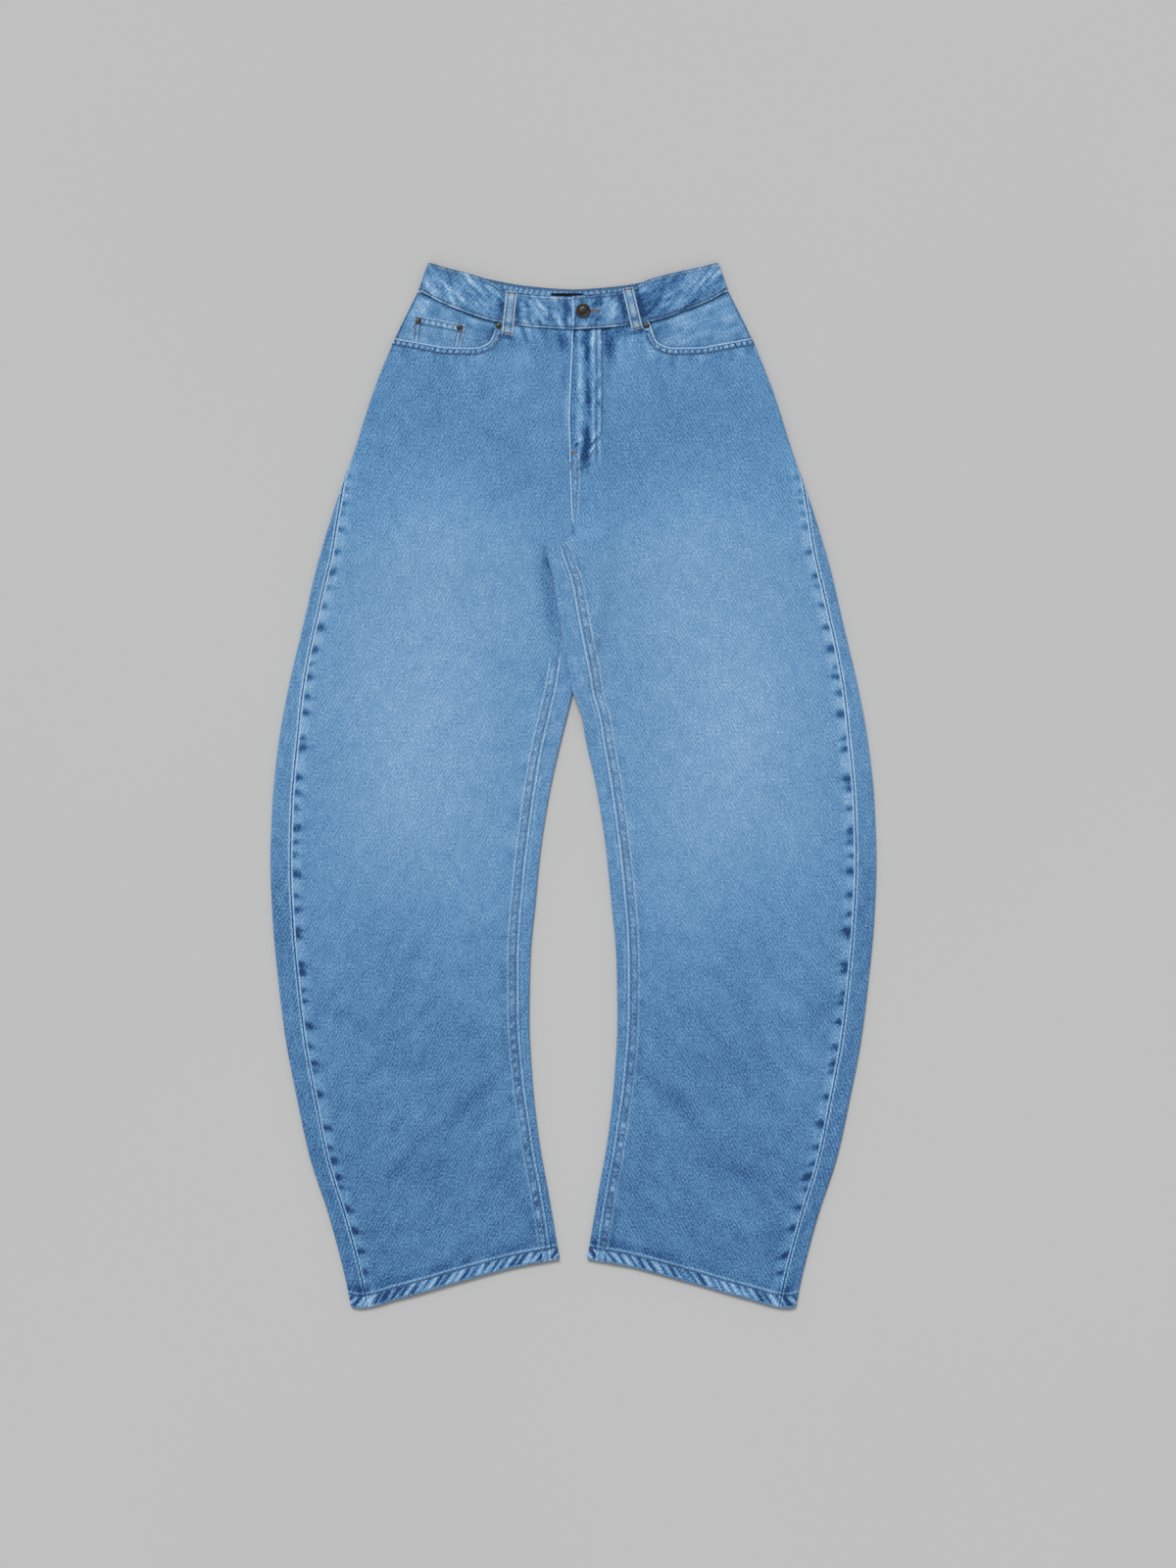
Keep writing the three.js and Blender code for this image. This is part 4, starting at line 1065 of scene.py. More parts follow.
def band_places(leg):
    """Places of one half of the waistband, from its front end round to centre back."""
    radius = WAIST_FOLD_RADIUS
    front_end = -1.0 if leg.over else -28.0
    back_end = float(leg.centre_back(LENGTH)) + HALF_GAP
    front_share = np.linspace(0, 1, BAND_FRONT)
    turns = np.linspace(0, math.pi, BAND_TURN + 2)[1:-1]
    back_share = np.linspace(1, 0, BAND_BACK)
    turn = np.concatenate([0 * front_share, turns, 0 * back_share + math.pi])
    share = np.concatenate([front_share, 0 * turns + 1, back_share])
    front = turn < math.pi / 2
    start = np.where(front, front_end, back_end)

    def edge(corner, front_curve, back_curve):
        flat = mix(start, corner - radius, share)
        at = flat + radius * ease(share, 0.9, 1)
        return flat + radius * np.sin(turn), np.where(front, front_curve(at), back_curve(at))

    low_a, low_h = edge(168, front_waist, back_waist)
    high_a, high_h = edge(157, leg.band_top, band_top_back)
    span = high_h - low_h - SEAM_GAP
    rise = np.linspace(0, 1, BAND_ROWS)[:, None] * span
    t = (HALF_GAP + rise) / (high_h - low_h)
    a = mix(low_a, high_a, t)
    h = mix(low_h, high_h, t)
    lapped = lambda at: LAP_RISE * (1 - ramp(at, 30, 52)) if leg.over else 0 * at
    z = SEAT_LIFT + radius + radius * np.cos(turn)
    z = z + np.where(front, mix(lapped(low_a), lapped(high_a), t), 0)
    across, up = np.sin(turn) + 0 * a, np.cos(turn) + 0 * a
    return (a, z, across, up), h, rise, span, front & (turn == 0)


# Creases of the waistband: a, offset from its low edge, angle, half length, half width, depth.
BAND_CREASES = [
    (146, 20, 34, 15, 2.6, -0.9), (136, 26, 30, 14, 2.2, 0.8), (124, 17, 36, 16, 2.4, -1.0),
    (117, 24, 38, 13, 2.0, 0.8), (106, 20, 32, 15, 2.2, -1.0), (99, 13, 38, 13, 1.8, 0.9),
    (92, 18, 40, 14, 2.0, -1.1), (86, 9, 40, 10, 1.8, 0.9), (82, 16, 46, 12, 1.8, -1.1),
    (140, 8, 18, 14, 2.6, 0.8), (118, 6, 16, 16, 2.4, 0.8), (152, 29, 30, 9, 2.6, 0.8),
    (54, 10, 74, 13, 2.4, -1.2), (45, 14, 62, 11, 2.8, 1.0), (36, 20, 52, 10, 2.6, -1.1),
    (24, 24, 70, 8, 2.4, -0.8), (30, 8, 40, 9, 2.6, 0.9), (14, 8, 60, 9, 2.2, 0.9),
    (7, 16, 86, 14, 2.6, -1.1), (50, 27, 20, 9, 2.0, 0.8), (22, 10, 64, 9, 2.2, -0.8),
    (76, 26, 20, 9, 2.2, -1.3), (106, 12, 12, 12, 2.8, -1.2), (114, 25, 25, 13, 3.4, 0.9),
    (157, 28, 30, 6, 2.0, -1.1), (128, 10, 20, 12, 2.6, 0.7),
]
# Dark places on the waistband: a, h, angle, half length, half width, amount. The right one is
# painted shadow beside the end of the lapped left half.
BAND_MARKS = {
    "left": [(24, 1083, 8, 9, 3, 0.7), (25, 1070, -6, 9, 3, 0.6), (84, 1084, 20, 22, 13, 0.32)],
    "right": [(7.5, 1076, 88, 14, 3.5, 0.9)],
}
# Middle line of the front belt loops: the top end and the low end, as a and h.
LOOP_LINES = {"right": ((66.3, 1098), (71.6, 1051)), "left": ((58.6, 1102), (69.4, 1057))}


def shadow_beside_loop(leg, a, h):
    """Painted shadow on the waistband at both sides of the front belt loop."""
    (top_a, top_h), (low_a, low_h) = LOOP_LINES[leg.name]
    off = a - mix(low_a, top_a, ramp(h, low_h, top_h))
    return bell(off, 9.5, 3.2) + bell(off, -9.5, 3.6)


def waistband(leg):
    place, h, rise, span, front = band_places(leg)
    a = place[0]
    middle = fall(a, 50, 66)
    base = 0.575 + 0.08 * middle + 0.065 * ease(a, 72, 112)
    if leg.over:
        base = 0.52 + 0.045 * middle
    look = Look(a.shape, mix(0.57, base, 1.0 * front))
    soft = creases(a, rise, BAND_CREASES, 0.3 * leg.seed)
    leant = leaning(a, rise, 24 if leg.over else 38)
    outer_part = 0.7 * mottled(*leant, 10, 3.4, leg.seed)
    outer_part += 0.5 * mottled(*leant, 26, 7, leg.seed + 4)
    inner_part = mottled(*leaning(a, rise, 64), 10, 5, leg.seed + 1)
    cloth = mix(outer_part, inner_part, middle) + 0.45 * patchy(a, rise, 3.6, 3.0, leg.seed + 2)
    look.sway += 0.18 * soft + 0.12 * cloth
    look.wear_and_shade += 0.34 * soft + 0.62 * cloth
    # Painted shadow on the band at both sides of the loop.
    look.wear_and_shade -= (0.85 if leg.over else 0.55) * front * shadow_beside_loop(leg, a, h)
    # Dark marks of the band; the right one is painted shadow beside the lapped end.
    look.wear_and_shade -= front * marks(a, h, BAND_MARKS[leg.name])
    if leg.over:
        look.lines(a - a[0, 0], front, [(0.8, 0.9, 0, 1.0), (3.2, 1.0, -0.15, -0.5)])
    from_top = span - rise
    look.lines(rise, 1, [(0, 0.9, -0.5, 0), (0.7, 0.7, 0, 0.8), (2.4, 0.75, -0.2, -0.8, 0.4)])
    look.lines(from_top, 1, [
        (0, 0.9, -0.5, 0), (0.2, 0.9, 0, -1.0, 0.6), (2.0, 0.8, 0.1, 0.5),
        (3.6, 0.6, -0.15, -0.4, 0.2),
    ])
    inside = Look(a.shape, 0.6)
    rungs = np.sin(a * 1.05 + 0.4 * rise + 0.8 * np.sin(a / 9)) + 0.7 * patchy(a, rise, 7, 6, 0.6)
    inside.wear_and_shade += 0.5 * np.tanh(1.8 * rungs) * plateau(from_top, 2, 3.5, 8, 10.5)
    inside.lines(from_top, 1, [(2.0, 0.9, 0, -0.6, 0.5), (0.2, 0.8, 0, -0.6, 0.7)])
    along = np.cumsum(np.full(a.shape, BAND_STEP), axis=1)
    rests = ["waistband_right" if leg.over else "back_right"]
    node = f"waistband_{leg.name}"
    sew(node, leg, place, h, look, along, rests, BAND_CLOTH, rise, step=1, lining=inside)


def facing_top(a, h):
    return mix(3.7, 5.0, ease(h - panel_edge(a), 3, 12))


def pocket_facing(leg):
    share = np.linspace(0, 1, 71)
    side = lambda h: outer_fold(h) - mix(3.8, 1.9, ramp(h, 1040, 1062))
    across = lambda h: mix(FACING_START, side(h), share)
    low = settle(lambda a: panel_edge(a) - 12, across, 71)
    high = settle(lambda a: front_waist(a) - WAIST_GAP, across, 71)
    h = fan(low, high, np.linspace(0, 1, 47))
    a = across(h)
    look = Look(a.shape, 0.65 if leg.over else 0.64)
    away, _ = nearest(a, h, MOUTH_LINE)
    # Darker beside the pocket mouth: painted shade under its edge.
    look.lines(away, h > mouth_edge(a), [(0, 3.0, 0, -0.4)])
    look.wear_and_shade += (0.26 if leg.over else 0.4) * mottled(*leaning(a, h, 24), 14, 6, 1.1 + leg.seed)
    # Darker near the mouth corner: painted shade under the panel and the band.
    look.wear_and_shade += marks(a, h, [(95, 1060, 50, 14, 7, -0.5), (88, 1052, 70, 10, 4, -0.3)])
    # Darker just under the waistband: painted shade, with a paler line below it.
    look.lines(high - h, 1, [(0, 2.2, 0, -0.7), (4.5, 2.0, 0, 0.2)])
    node = f"pocket_facing_{leg.name}"
    place = facing_up(a, facing_top(a, h))
    sew(node, leg, place, h, look, FACING_MAP + a, [f"back_{leg.name}"])


# Coin pocket: the two top corners as a and h, and the low corners as a.
COIN_TOP = ((116, 1062), (171.2, 1072.4))
COIN_LOW = (125, 176)
COIN_WIDTH = 52.0
FACING_START = 74.0


def coin_top(share):
    return mix(COIN_TOP[0][1], COIN_TOP[1][1], share)


def coin_place(share, h):
    low = mix(*COIN_LOW, share)
    high = mix(COIN_TOP[0][0], COIN_TOP[1][0], share)
    return mix(low, high, ramp(h, 1030, coin_top(share)))


def coin_skin(share, h):
    a = coin_place(share, h)
    return a, facing_top(a, h) + 1.3


def coin_pocket():
    share = np.linspace(0, 1, 53)
    low = settle(lambda a: mouth_edge(a) - 10, lambda h: coin_place(share, h), 53)
    h = fan(low, coin_top(share), np.linspace(0, 1, 43))
    a, z = coin_skin(share, h)
    look = Look(a.shape, 0.64)
    drop = coin_top(share) - h
    side = from_ends(share, COIN_WIDTH)
    rungs = np.tanh(2.4 * (np.sin(a + 0.7) + 0.3))
    hem = plateau(drop, 2.2, 3.0, 6.4, 7.4) * ease(side, 3, 4)
    look.relief += 0.4 * fall(drop, 8.6, 9.6) + 0.15 * hem * rungs
    look.wear_and_shade += hem * (0.4 * rungs + 0.15) + 0.26 * mottled(a, h, 8, 12, 0.4)
    look.lines(drop, 1, [
        (0.4, 0.8, -0.15, 0.9), (1.9, 0.5, -0.15, -0.7, 0.3), (7.9, 0.9, -0.15, -0.7, 0.3),
    ])
    look.lines(side, 1, [(2.1, 0.6, -0.15, -0.6, 0.2), (6.8, 0.7, -0.12, -0.48, 0.16)])
    look.lines(side, drop > 1, [(0.5, 0.8, -0.15, 0.9)])
    look.lines(side, drop > 8, [(4.4, 1.0, 0, 0.35)])
    sew("coin_pocket", RIGHT, facing_up(a, z), h, look, COIN_MAP + a, ["pocket_facing_right"])


# Loops and patch pockets

# Corners of the front belt loops: the two edges, each from its top end to its low end.
LOOP_ENDS = {
    "right": (((60.4, 1097.5), (65.7, 1050)), ((72.3, 1099), (77.5, 1052.3))),
    "left": (((53, 1101.3), (63.5, 1055.3)), ((64.2, 1103), (75.3, 1058.3))),
}
LOOP_STAND = through([(0, 0), (0.14, 0), (0.4, 1.1), (0.68, 0.9), (0.86, 0), (1, 0)])
BAND_FACE = SEAT_LIFT + 2 * WAIST_FOLD_RADIUS + SEAM_GAP
PANEL_FACE = SEAT_LIFT + TORSO_HEIGHT + 2 * SEAM_GAP
LOOP_THICK = 1.2
LOOP_WIDTH = 12
LOOP_LENGTH = 48
LABEL_LENGTH = 34
LABEL_HEIGHT = 11.5


def loop_skin(leg, across, down):
    """A place on a front belt loop: across from 0 to 1, and down from its top end."""
    ends = LOOP_ENDS[leg.name]
    corner = lambda end, axis: mix(ends[0][end][axis], ends[1][end][axis], across)
    a = mix(corner(0, 0), corner(1, 0), down)
    h = mix(corner(0, 1), corner(1, 1), down)
    length = corner(0, 1) - corner(1, 1)
    seam = (corner(0, 1) - front_waist(corner(1, 0))) / length
    on_band = BAND_FACE + LOOP_STAND(np.clip(down / seam, 0, 1))
    z = mix(on_band, PANEL_FACE, ease((down - seam) * length, 0, 3.5)) + LOOP_THICK
    return a, z, h


def front_loop(leg):
    across, down = np.meshgrid(np.linspace(0, 1, 25), np.linspace(0, 1, 81))
    a, z, h = loop_skin(leg, across, down)
    look = Look(a.shape, 0.81)
    side = from_ends(across, LOOP_WIDTH)
    end = from_ends(down, LOOP_LENGTH)
    look.lines(side, 1, [(0, 0.7, -0.35, 0), (0.5, 0.8, 0, 0.7), (2.4, 0.7, -0.15, -0.75, 0.5)])
    look.lines(end, 1, [(0, 0.9, -0.3, 0), (2.2, 0.8, -0.1, -0.3, 0.6)])
    look.wear_and_shade += 0.35 * mottled(side, down * LOOP_LENGTH, 5, 7, leg.seed) * ease(side, 2, 3)
    # Painted shade across the loop where it steps down off the waistband onto the panel.
    look.wear_and_shade -= 0.9 * bell(down, 0.745, 0.055) * ease(side, 0.8, 2.4)
    look.wear_and_shade += 0.35 * plateau(down, 0.8, 0.87, 0.93, 0.97)
    look.brown += 0.22
    node = f"belt_loop_front_{leg.name}"
    rests = [f"waistband_{leg.name}"]
    sew(node, leg, facing_up(a, z), h, look, across * LOOP_WIDTH, rests, LOOP_THICK)


def patch(node, leg, low, high, thickness, rests_on, seed):
    """A flat patch on the underside, between the lines of its low and high edges."""
    rows = np.linspace(0, 1, 55)[:, None]
    a = mix(low[0], high[0], rows)
    h = mix(low[1], high[1], rows) + 0 * a
    look = Look(a.shape, 0.58)
    side = from_ends(PATCH_SHARE, abs(float(low[0][-1] - low[0][0])))
    edge = np.minimum(np.minimum(side, h - low[1]), high[1] - h)
    look.lines(edge, 1, [
        (0, 0.8, -0.3, 0), (2.2, 0.8, -0.25, 0), (0.6, 1.1, 0, 0.45), (2.2, 0.7, 0, -0.35, 0.3),
    ])
    look.wear_and_shade += 0.2 * uneven(a * 0.5 + h * 0.3, seed) * fall(edge, 4, 9)
    look.wear_and_shade += 0.1 * gentle(a, h, seed)
    sew(node, leg, (a, 0 * a, 0 * a, 0 * a - 1), h, look, a, rests_on, thickness)


def back_pocket(leg):
    low_a = mix(46.0, 178.0, PATCH_SHARE)
    high_a = mix(40.0, 186.0, PATCH_SHARE)
    low, high = (low_a, pocket_foot(low_a)), (high_a, pocket_top(high_a))
    patch(f"back_pocket_{leg.name}", leg, low, high, CLOTH, [f"back_{leg.name}"], leg.seed)


def back_loop(node, leg, a, tilt):
    top = float(band_top_back(a)) - 1
    bottom = float(back_waist(a)) - 10
    low_a = mix(a - 5.5, a + 5.5, PATCH_SHARE)
    high_a = low_a - math.tan(tilt) * (top - bottom)
    patch(node, leg, (low_a, bottom), (high_a, top), 1.1, [f"waistband_{leg.name}"], 1.4)


def inner_label(colour):
    """The plain label sewn inside the back of the waistband."""
    across, up = np.meshgrid(np.linspace(0, 1, 41), np.linspace(0, 1, 17))
    a = -24 + LABEL_LENGTH * across
    h = 1085.05 + LABEL_HEIGHT * up
    look = Look(a.shape, 0.5)
    look.lines(from_ends(across, LABEL_LENGTH), 1, [(0, 0.7, -0.35, 0), (1.6, 0.4, -0.25, 0)])
    look.lines(from_ends(up, LABEL_HEIGHT), 1, [(0, 0.6, -0.35, 0)])
    place = facing_up(a, 0 * a + 4.9)
    material = label_material(colour)
    piece = cloth_shell("label_inside", LEFT, place, h, look, (a, h), CLOTH, material)
    lay(piece, "inner_label")


# Sewing

def front_surface(leg, s, h):
    """Points on the dressed skin of a front panel."""
    a, z, across, up = on_front(leg, s, h)
    look = front_look(leg, s, h)
    lift = look.sway + look.relief
    return to_points(leg, a + across * lift, z + up * lift, h)


def resample(points, pitch):
    """Places at an even pitch along a line of points, with the directions there."""
    steps = np.linalg.norm(np.diff(points, axis=0), axis=1)
    travelled = np.concatenate([[0], np.cumsum(steps)])
    count = max(int(travelled[-1] / pitch), 1)
    at = (np.arange(count) + 0.5) * travelled[-1] / count
    middle = np.stack([np.interp(at, travelled, points[:, k]) for k in range(3)], axis=-1)
    ahead = np.stack([np.interp(at + 0.4, travelled, points[:, k]) for k in range(3)], axis=-1)
    behind = np.stack([np.interp(at - 0.4, travelled, points[:, k]) for k in range(3)], axis=-1)
    way = ahead - behind
    return middle, way / np.linalg.norm(way, axis=1)[:, None]


class Thread:
    """Gathers the stitches of one colour and makes them one mesh."""

    def __init__(self, settings, template):
        self.pitch = settings.stitch_pitch / MM
        self.radius = settings.thread_thickness / MM / 2
        self.template = template
        self.places = []

    def row(self, points, pitch=None, up=1.0):
        """Stitches along a line of points that lies on the cloth."""
        pitch = pitch or self.pitch
        middle, way = resample(np.asarray(points, float), pitch)
        for place, direction in zip(middle, way):
            self.places.append((place, direction, pitch * 0.36, up))

    def bar(self, start, end, count, length, up=1.0):
        """A bartack: short stitches side by side from start to end."""
        start, end = np.asarray(start, float), np.asarray(end, float)
        way = end - start
        side = np.array([-way[1], way[0], 0.0])
        side /= np.linalg.norm(side)
        for share in (np.arange(count) + 0.5) / count:
            self.places.append((start + way * share, side, length / 2, up))

    def make(self, name, material):
        corners, faces = self.template
        points, all_faces = [], []
        for number, (place, way, half, up) in enumerate(self.places):
            side = np.cross([0, 0, up], way)
            side /= np.linalg.norm(side)
            top = np.cross(way, side)
            wobble = 0.06 * math.sin(number * 2.4)
            across = (side + way * wobble) * self.radius
            axes = np.array([way * half, across, top * self.radius])
            start = len(points) * len(corners)
            points.append(corners @ axes + place + top * self.radius * 0.25)
            all_faces += [[corner + start for corner in face] for face in faces]
        piece = add_mesh(name, np.concatenate(points), all_faces, material)
        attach(piece, "root")
        return piece


def stitch_form():
    """One stitch, modelled once: a small bead, long in X, as corners and faces."""
    bpy.ops.object.select_all(action="DESELECT")
    bpy.ops.mesh.primitive_uv_sphere_add(segments=6, ring_count=4, radius=1)
    bead = bpy.context.active_object
    bpy.ops.object.mode_set(mode="EDIT")
    bpy.ops.mesh.select_all(action="SELECT")
    bpy.ops.transform.rotate(value=math.pi / 2, orient_axis="Y", center_override=(0, 0, 0))
    bpy.ops.mesh.normals_make_consistent(inside=False)
    bpy.ops.object.mode_set(mode="OBJECT")
    corners = np.array([vertex.co[:] for vertex in bead.data.vertices])
    faces = [list(polygon.vertices) for polygon in bead.data.polygons]
    mesh = bead.data
    bpy.data.objects.remove(bead)
    bpy.data.meshes.remove(mesh)
    return corners, faces


def inseam_rows(dark, pale, leg):
    """The two rows that hold the inseam, down to the hem."""
    h = np.linspace(66, 828 if leg.over else 676, 500)
    dark.row(front_surface(leg, 1.7 + 0 * h, h))
    pale.row(front_surface(leg, leg.strip_width(h) - 1.1, h))


def hem_row(thread, leg):
    share = np.linspace(0.02, 0.995, 160)
    place_at = lambda h: share * front_length(leg, h)
    across = lambda h: on_front(leg, place_at(h), h)[0]
    h = settle(lambda a: hem_edge(a) + HEM_DEPTH - 1.7, across, len(share))
    thread.row(front_surface(leg, place_at(h), h))


def mouth_rows(thread, leg):
    way = np.gradient(MOUTH_LINE, axis=0)
    normal = np.stack([way[:, 1], -way[:, 0]], axis=-1)
    normal /= np.linalg.norm(normal, axis=1)[:, None]
    for inset in (2.0, 6.8):
        a, h = (MOUTH_LINE + normal * inset).T
        keep = (a > 60) & (a < outer_fold(h) - 1.5) & (h < front_top(np.maximum(a, 0)) - 0.8)
        a, h = a[keep], h[keep]
        thread.row(front_surface(leg, a - leg.front_seam(h), h), EDGE_PITCH)


def fly_rows(pale, dark):
    """Two rows along the edge of the fly, the inner one drawn towards a middle."""
    middle_a, middle_h = 4.0, 948.0
    for inset, thread in ((0.0, pale), (6.2, dark)):
        size = 1 - inset / 34
        line = [(FLY_CURVE[0][0] - inset, h, 0.0) for h in (1055, 1000, 960)]
        line += [
            (mix(middle_a, a, size), mix(middle_h, h, size), 0.0) for a, h in FLY_CURVE[1:]
        ]
        a, h, _ = resample(np.array(line), 2.0)[0].T
        thread.row(front_surface(LEFT, a - LEFT.front_seam(h), h), EDGE_PITCH)


def rise_rows(dark, pale):
    h = np.linspace(852, 922, 60)
    dark.row(front_surface(LEFT, 1.9 + 0 * h, h), EDGE_PITCH)
    pale.row(front_surface(LEFT, LEFT.strip_width(h) - 1.1, h), EDGE_PITCH)


def band_row(thread, leg, from_low=None, from_top=None, inset=0.0):
    """A row round the waistband, at a distance from its low or its top edge."""
    place, h, rise, span, front = band_places(leg)
    wanted = np.broadcast_to(span - from_top if from_low is None else from_low, span.shape)
    at_row = lambda grid: np.array([
        np.interp(w, rise[:, i], grid[:, i]) for i, w in enumerate(wanted)
    ])
    a, z, across, up, h = (at_row(grid) for grid in (*place, h))
    points = to_points(leg, a + across * inset, z + up * inset, h)
    last = int(np.sum(front))
    thread.row(points[:last], BAND_PITCH)
    thread.row(points[last + BAND_TURN:], BAND_PITCH, -1.0)


def loop_rows(thread, leg):
    down = np.linspace(0.03, 0.95, 60)
    for across in (0.2, 0.8):
        a, z, h = loop_skin(leg, across + 0 * down, down)
        thread.row(to_points(leg, a, z - 0.1, h), SHORT_PITCH)


def coin_rows(thread):
    share = np.linspace(0.05, 0.95, 40)
    for drop in (1.9, 7.6):
        h = coin_top(share) - drop
        a, z = coin_skin(share, h)
        thread.row(to_points(RIGHT, a, z + 0.35, h), SHORT_PITCH)
    for edge in (0.036, 0.13, 0.87, 0.964):
        top = coin_top(edge)
        h = np.linspace(float(mouth_edge(mix(118, 172, edge))) + 1, top - 2.2, 30)
        a, z = coin_skin(edge + 0 * h, h)
        z = z + 0.05 + 0.35 * ease(h, top - 9.6, top - 8.6)
        thread.row(to_points(RIGHT, a, z, h), SHORT_PITCH)


def hidden_rows(thread):
    """Plain rows on the underside, sunk so that the garment still rests flat."""
    row = lambda leg, a, z, h: thread.row(to_points(leg, a, z, h), UNDER_PITCH, -1.0)
    for leg in LEGS:
        a = np.linspace(46, 178, 120)
        row(leg, a, STITCH_SINK, pocket_foot(a) + 2.2)
        a = np.linspace(44, 182, 120)
        for drop in (2.2, 13):
            row(leg, a, STITCH_SINK, pocket_top(a) - drop)
        h = np.linspace(856, 984, 100)
        for low_a, high_a in ((48.4, 42.4), (175.8, 183.6)):
            row(leg, np.interp(h, [853, 988], [low_a, high_a]), STITCH_SINK, h)
        a = np.linspace(float(leg.centre_back(1000)) + 3, 196, 160)
        for above in (1.6, 7.6):
            h = yoke_seam(a) + above
            keep = a < outer_fold(h) - 5
            row(leg, a[keep], SEAT_LIFT, h[keep])
    h = np.linspace(850, 990, 120)
    for off in (2, 8):
        row(LEFT, LEFT.centre_back(h) + off, SEAT_LIFT, h)


# Bartacks of the fly: a and h of the start and of the end, count, length of a stitch.
FLY_TACKS = ((-3.2, 924.3, 4.4, 924.3, 13, 2.6), (-3.0, 914, -3.0, 905, 11, 1.2))


def bartacks(thread):
    """Dense bars where the seams end."""
    for a0, h0, a1, h1, count, length in FLY_TACKS:
        a, h = np.array([a0, a1]), np.array([h0, h1])
        start, end = front_surface(LEFT, a - LEFT.front_seam(h), h)
        thread.bar(start, end, count, length)
    for leg in LEGS:
        for down in (0.035, 0.955):
            a, z, h = loop_skin(leg, np.array([0.08, 0.92]), np.full(2, down))
            start, end = to_points(leg, a, z, h)
            thread.bar(start, end, 15, 1.4)
        h = np.array([1052.0, 1045.0])
        start, end = front_surface(leg, front_length(leg, h) - 2.2, h)
        thread.bar(start, end, 9, 1.4)
    for share, h in ((3 / 55, 1053.0), (1.0, 1063.0)):
        a, z = coin_skin(np.array([share]), np.array([h]))
        place = to_points(RIGHT, a, z + 0.4, np.array([h]))[0]
        thread.bar(place, place + np.array([0, -5.0, 0]), 7, 1.3)


def buttonhole(thread):
    """The worked hole beside the button."""
    face = SEAT_LIFT + 2 * WAIST_FOLD_RADIUS + LAP_RISE + 0.1
    for side in (-0.95, 0.95):
        start, end = ((x, BUTTON_Y + side, face) for x in (17.5, 27.2))
        thread.bar(start, end, 15, 1.5)
    for number in range(9):
        turn = math.radians(-100 + 25 * number)
        way = np.array([math.cos(turn), math.sin(turn), 0.0])
        thread.places.append((np.array([27.6, BUTTON_Y, face]) + 1.2 * way, way, 0.8, 1.0))


# Metal

BUTTON_RADIUS = 7.8
RIVET_RADIUS = 3.3
# Steps of the turned faces, from the rim inwards: inset, rise.
BUTTON_TOP = [
    (0.6, 0.45), (1.2, 0), (0.5, -0.4), (1.6, 0.1), (0.5, 0.25), (1.6, 0.15), (1.0, 0.05),
]
BUTTON_BACK = [(3.8, 0), (0.01, 0.5)]
RIVET_TOP = [(0.5, 0.42), (1.3, 0.1), (0.35, 0.3), (0.6, 0.1)]
# Rivets: node, leg, a, h, and the height of the cloth below.
RIVETS = [
    ("rivet_coin_inner", RIGHT, 123, 1059.7, 7.0), ("rivet_coin_outer", RIGHT, 167.5, 1066.4, 7.0),
    ("rivet_mouth_right", RIGHT, 80.5, 1061, 6.6), ("rivet_mouth_left", LEFT, 79.5, 1061, 6.6),
]


def turned_piece(name, radius, low, depth, top_steps, bottom_steps, segments):
    """A turned metal part at the origin, from a disc that is inset and raised in steps."""
    bpy.ops.object.select_all(action="DESELECT")
    bpy.ops.mesh.primitive_cylinder_add(
        vertices=segments, radius=radius * MM, depth=depth * MM,
        location=(0, 0, (low + depth / 2) * MM),
    )
    piece = bpy.context.active_object
    piece.name = name
    bpy.ops.object.transform_apply(location=True, rotation=True, scale=True)
    for direction, steps in ((1, top_steps), (-1, bottom_steps)):
        bpy.ops.object.mode_set(mode="EDIT")
        bpy.ops.mesh.select_all(action="DESELECT")
        bpy.ops.object.mode_set(mode="OBJECT")
        for polygon in piece.data.polygons:
            polygon.select = polygon.normal.z * direction > 0.9
        bpy.ops.object.mode_set(mode="EDIT")
        bpy.ops.mesh.select_mode(type="FACE")
        for inset, rise in steps:
            bpy.ops.mesh.inset(thickness=inset * MM, depth=rise * MM)
        bpy.ops.object.mode_set(mode="OBJECT")
    bevel = piece.modifiers.new("Rounded edges", "BEVEL")
    bevel.width = 0.12 * MM
    bevel.segments = 2
    bevel.limit_method = "ANGLE"
    bevel.angle_limit = math.radians(24)
    bpy.ops.object.modifier_apply(modifier=bevel.name)
    return piece


def set_metal(piece, node, material, place):
    """Puts a turned part over its node."""
    piece.data.materials.clear()
    piece.data.materials.append(material)
    for vertex in piece.data.vertices:
        vertex.co += Vector(place) * MM
    piece.data.update()
    smooth(piece, 35)
    dress(piece, node)


# Materials

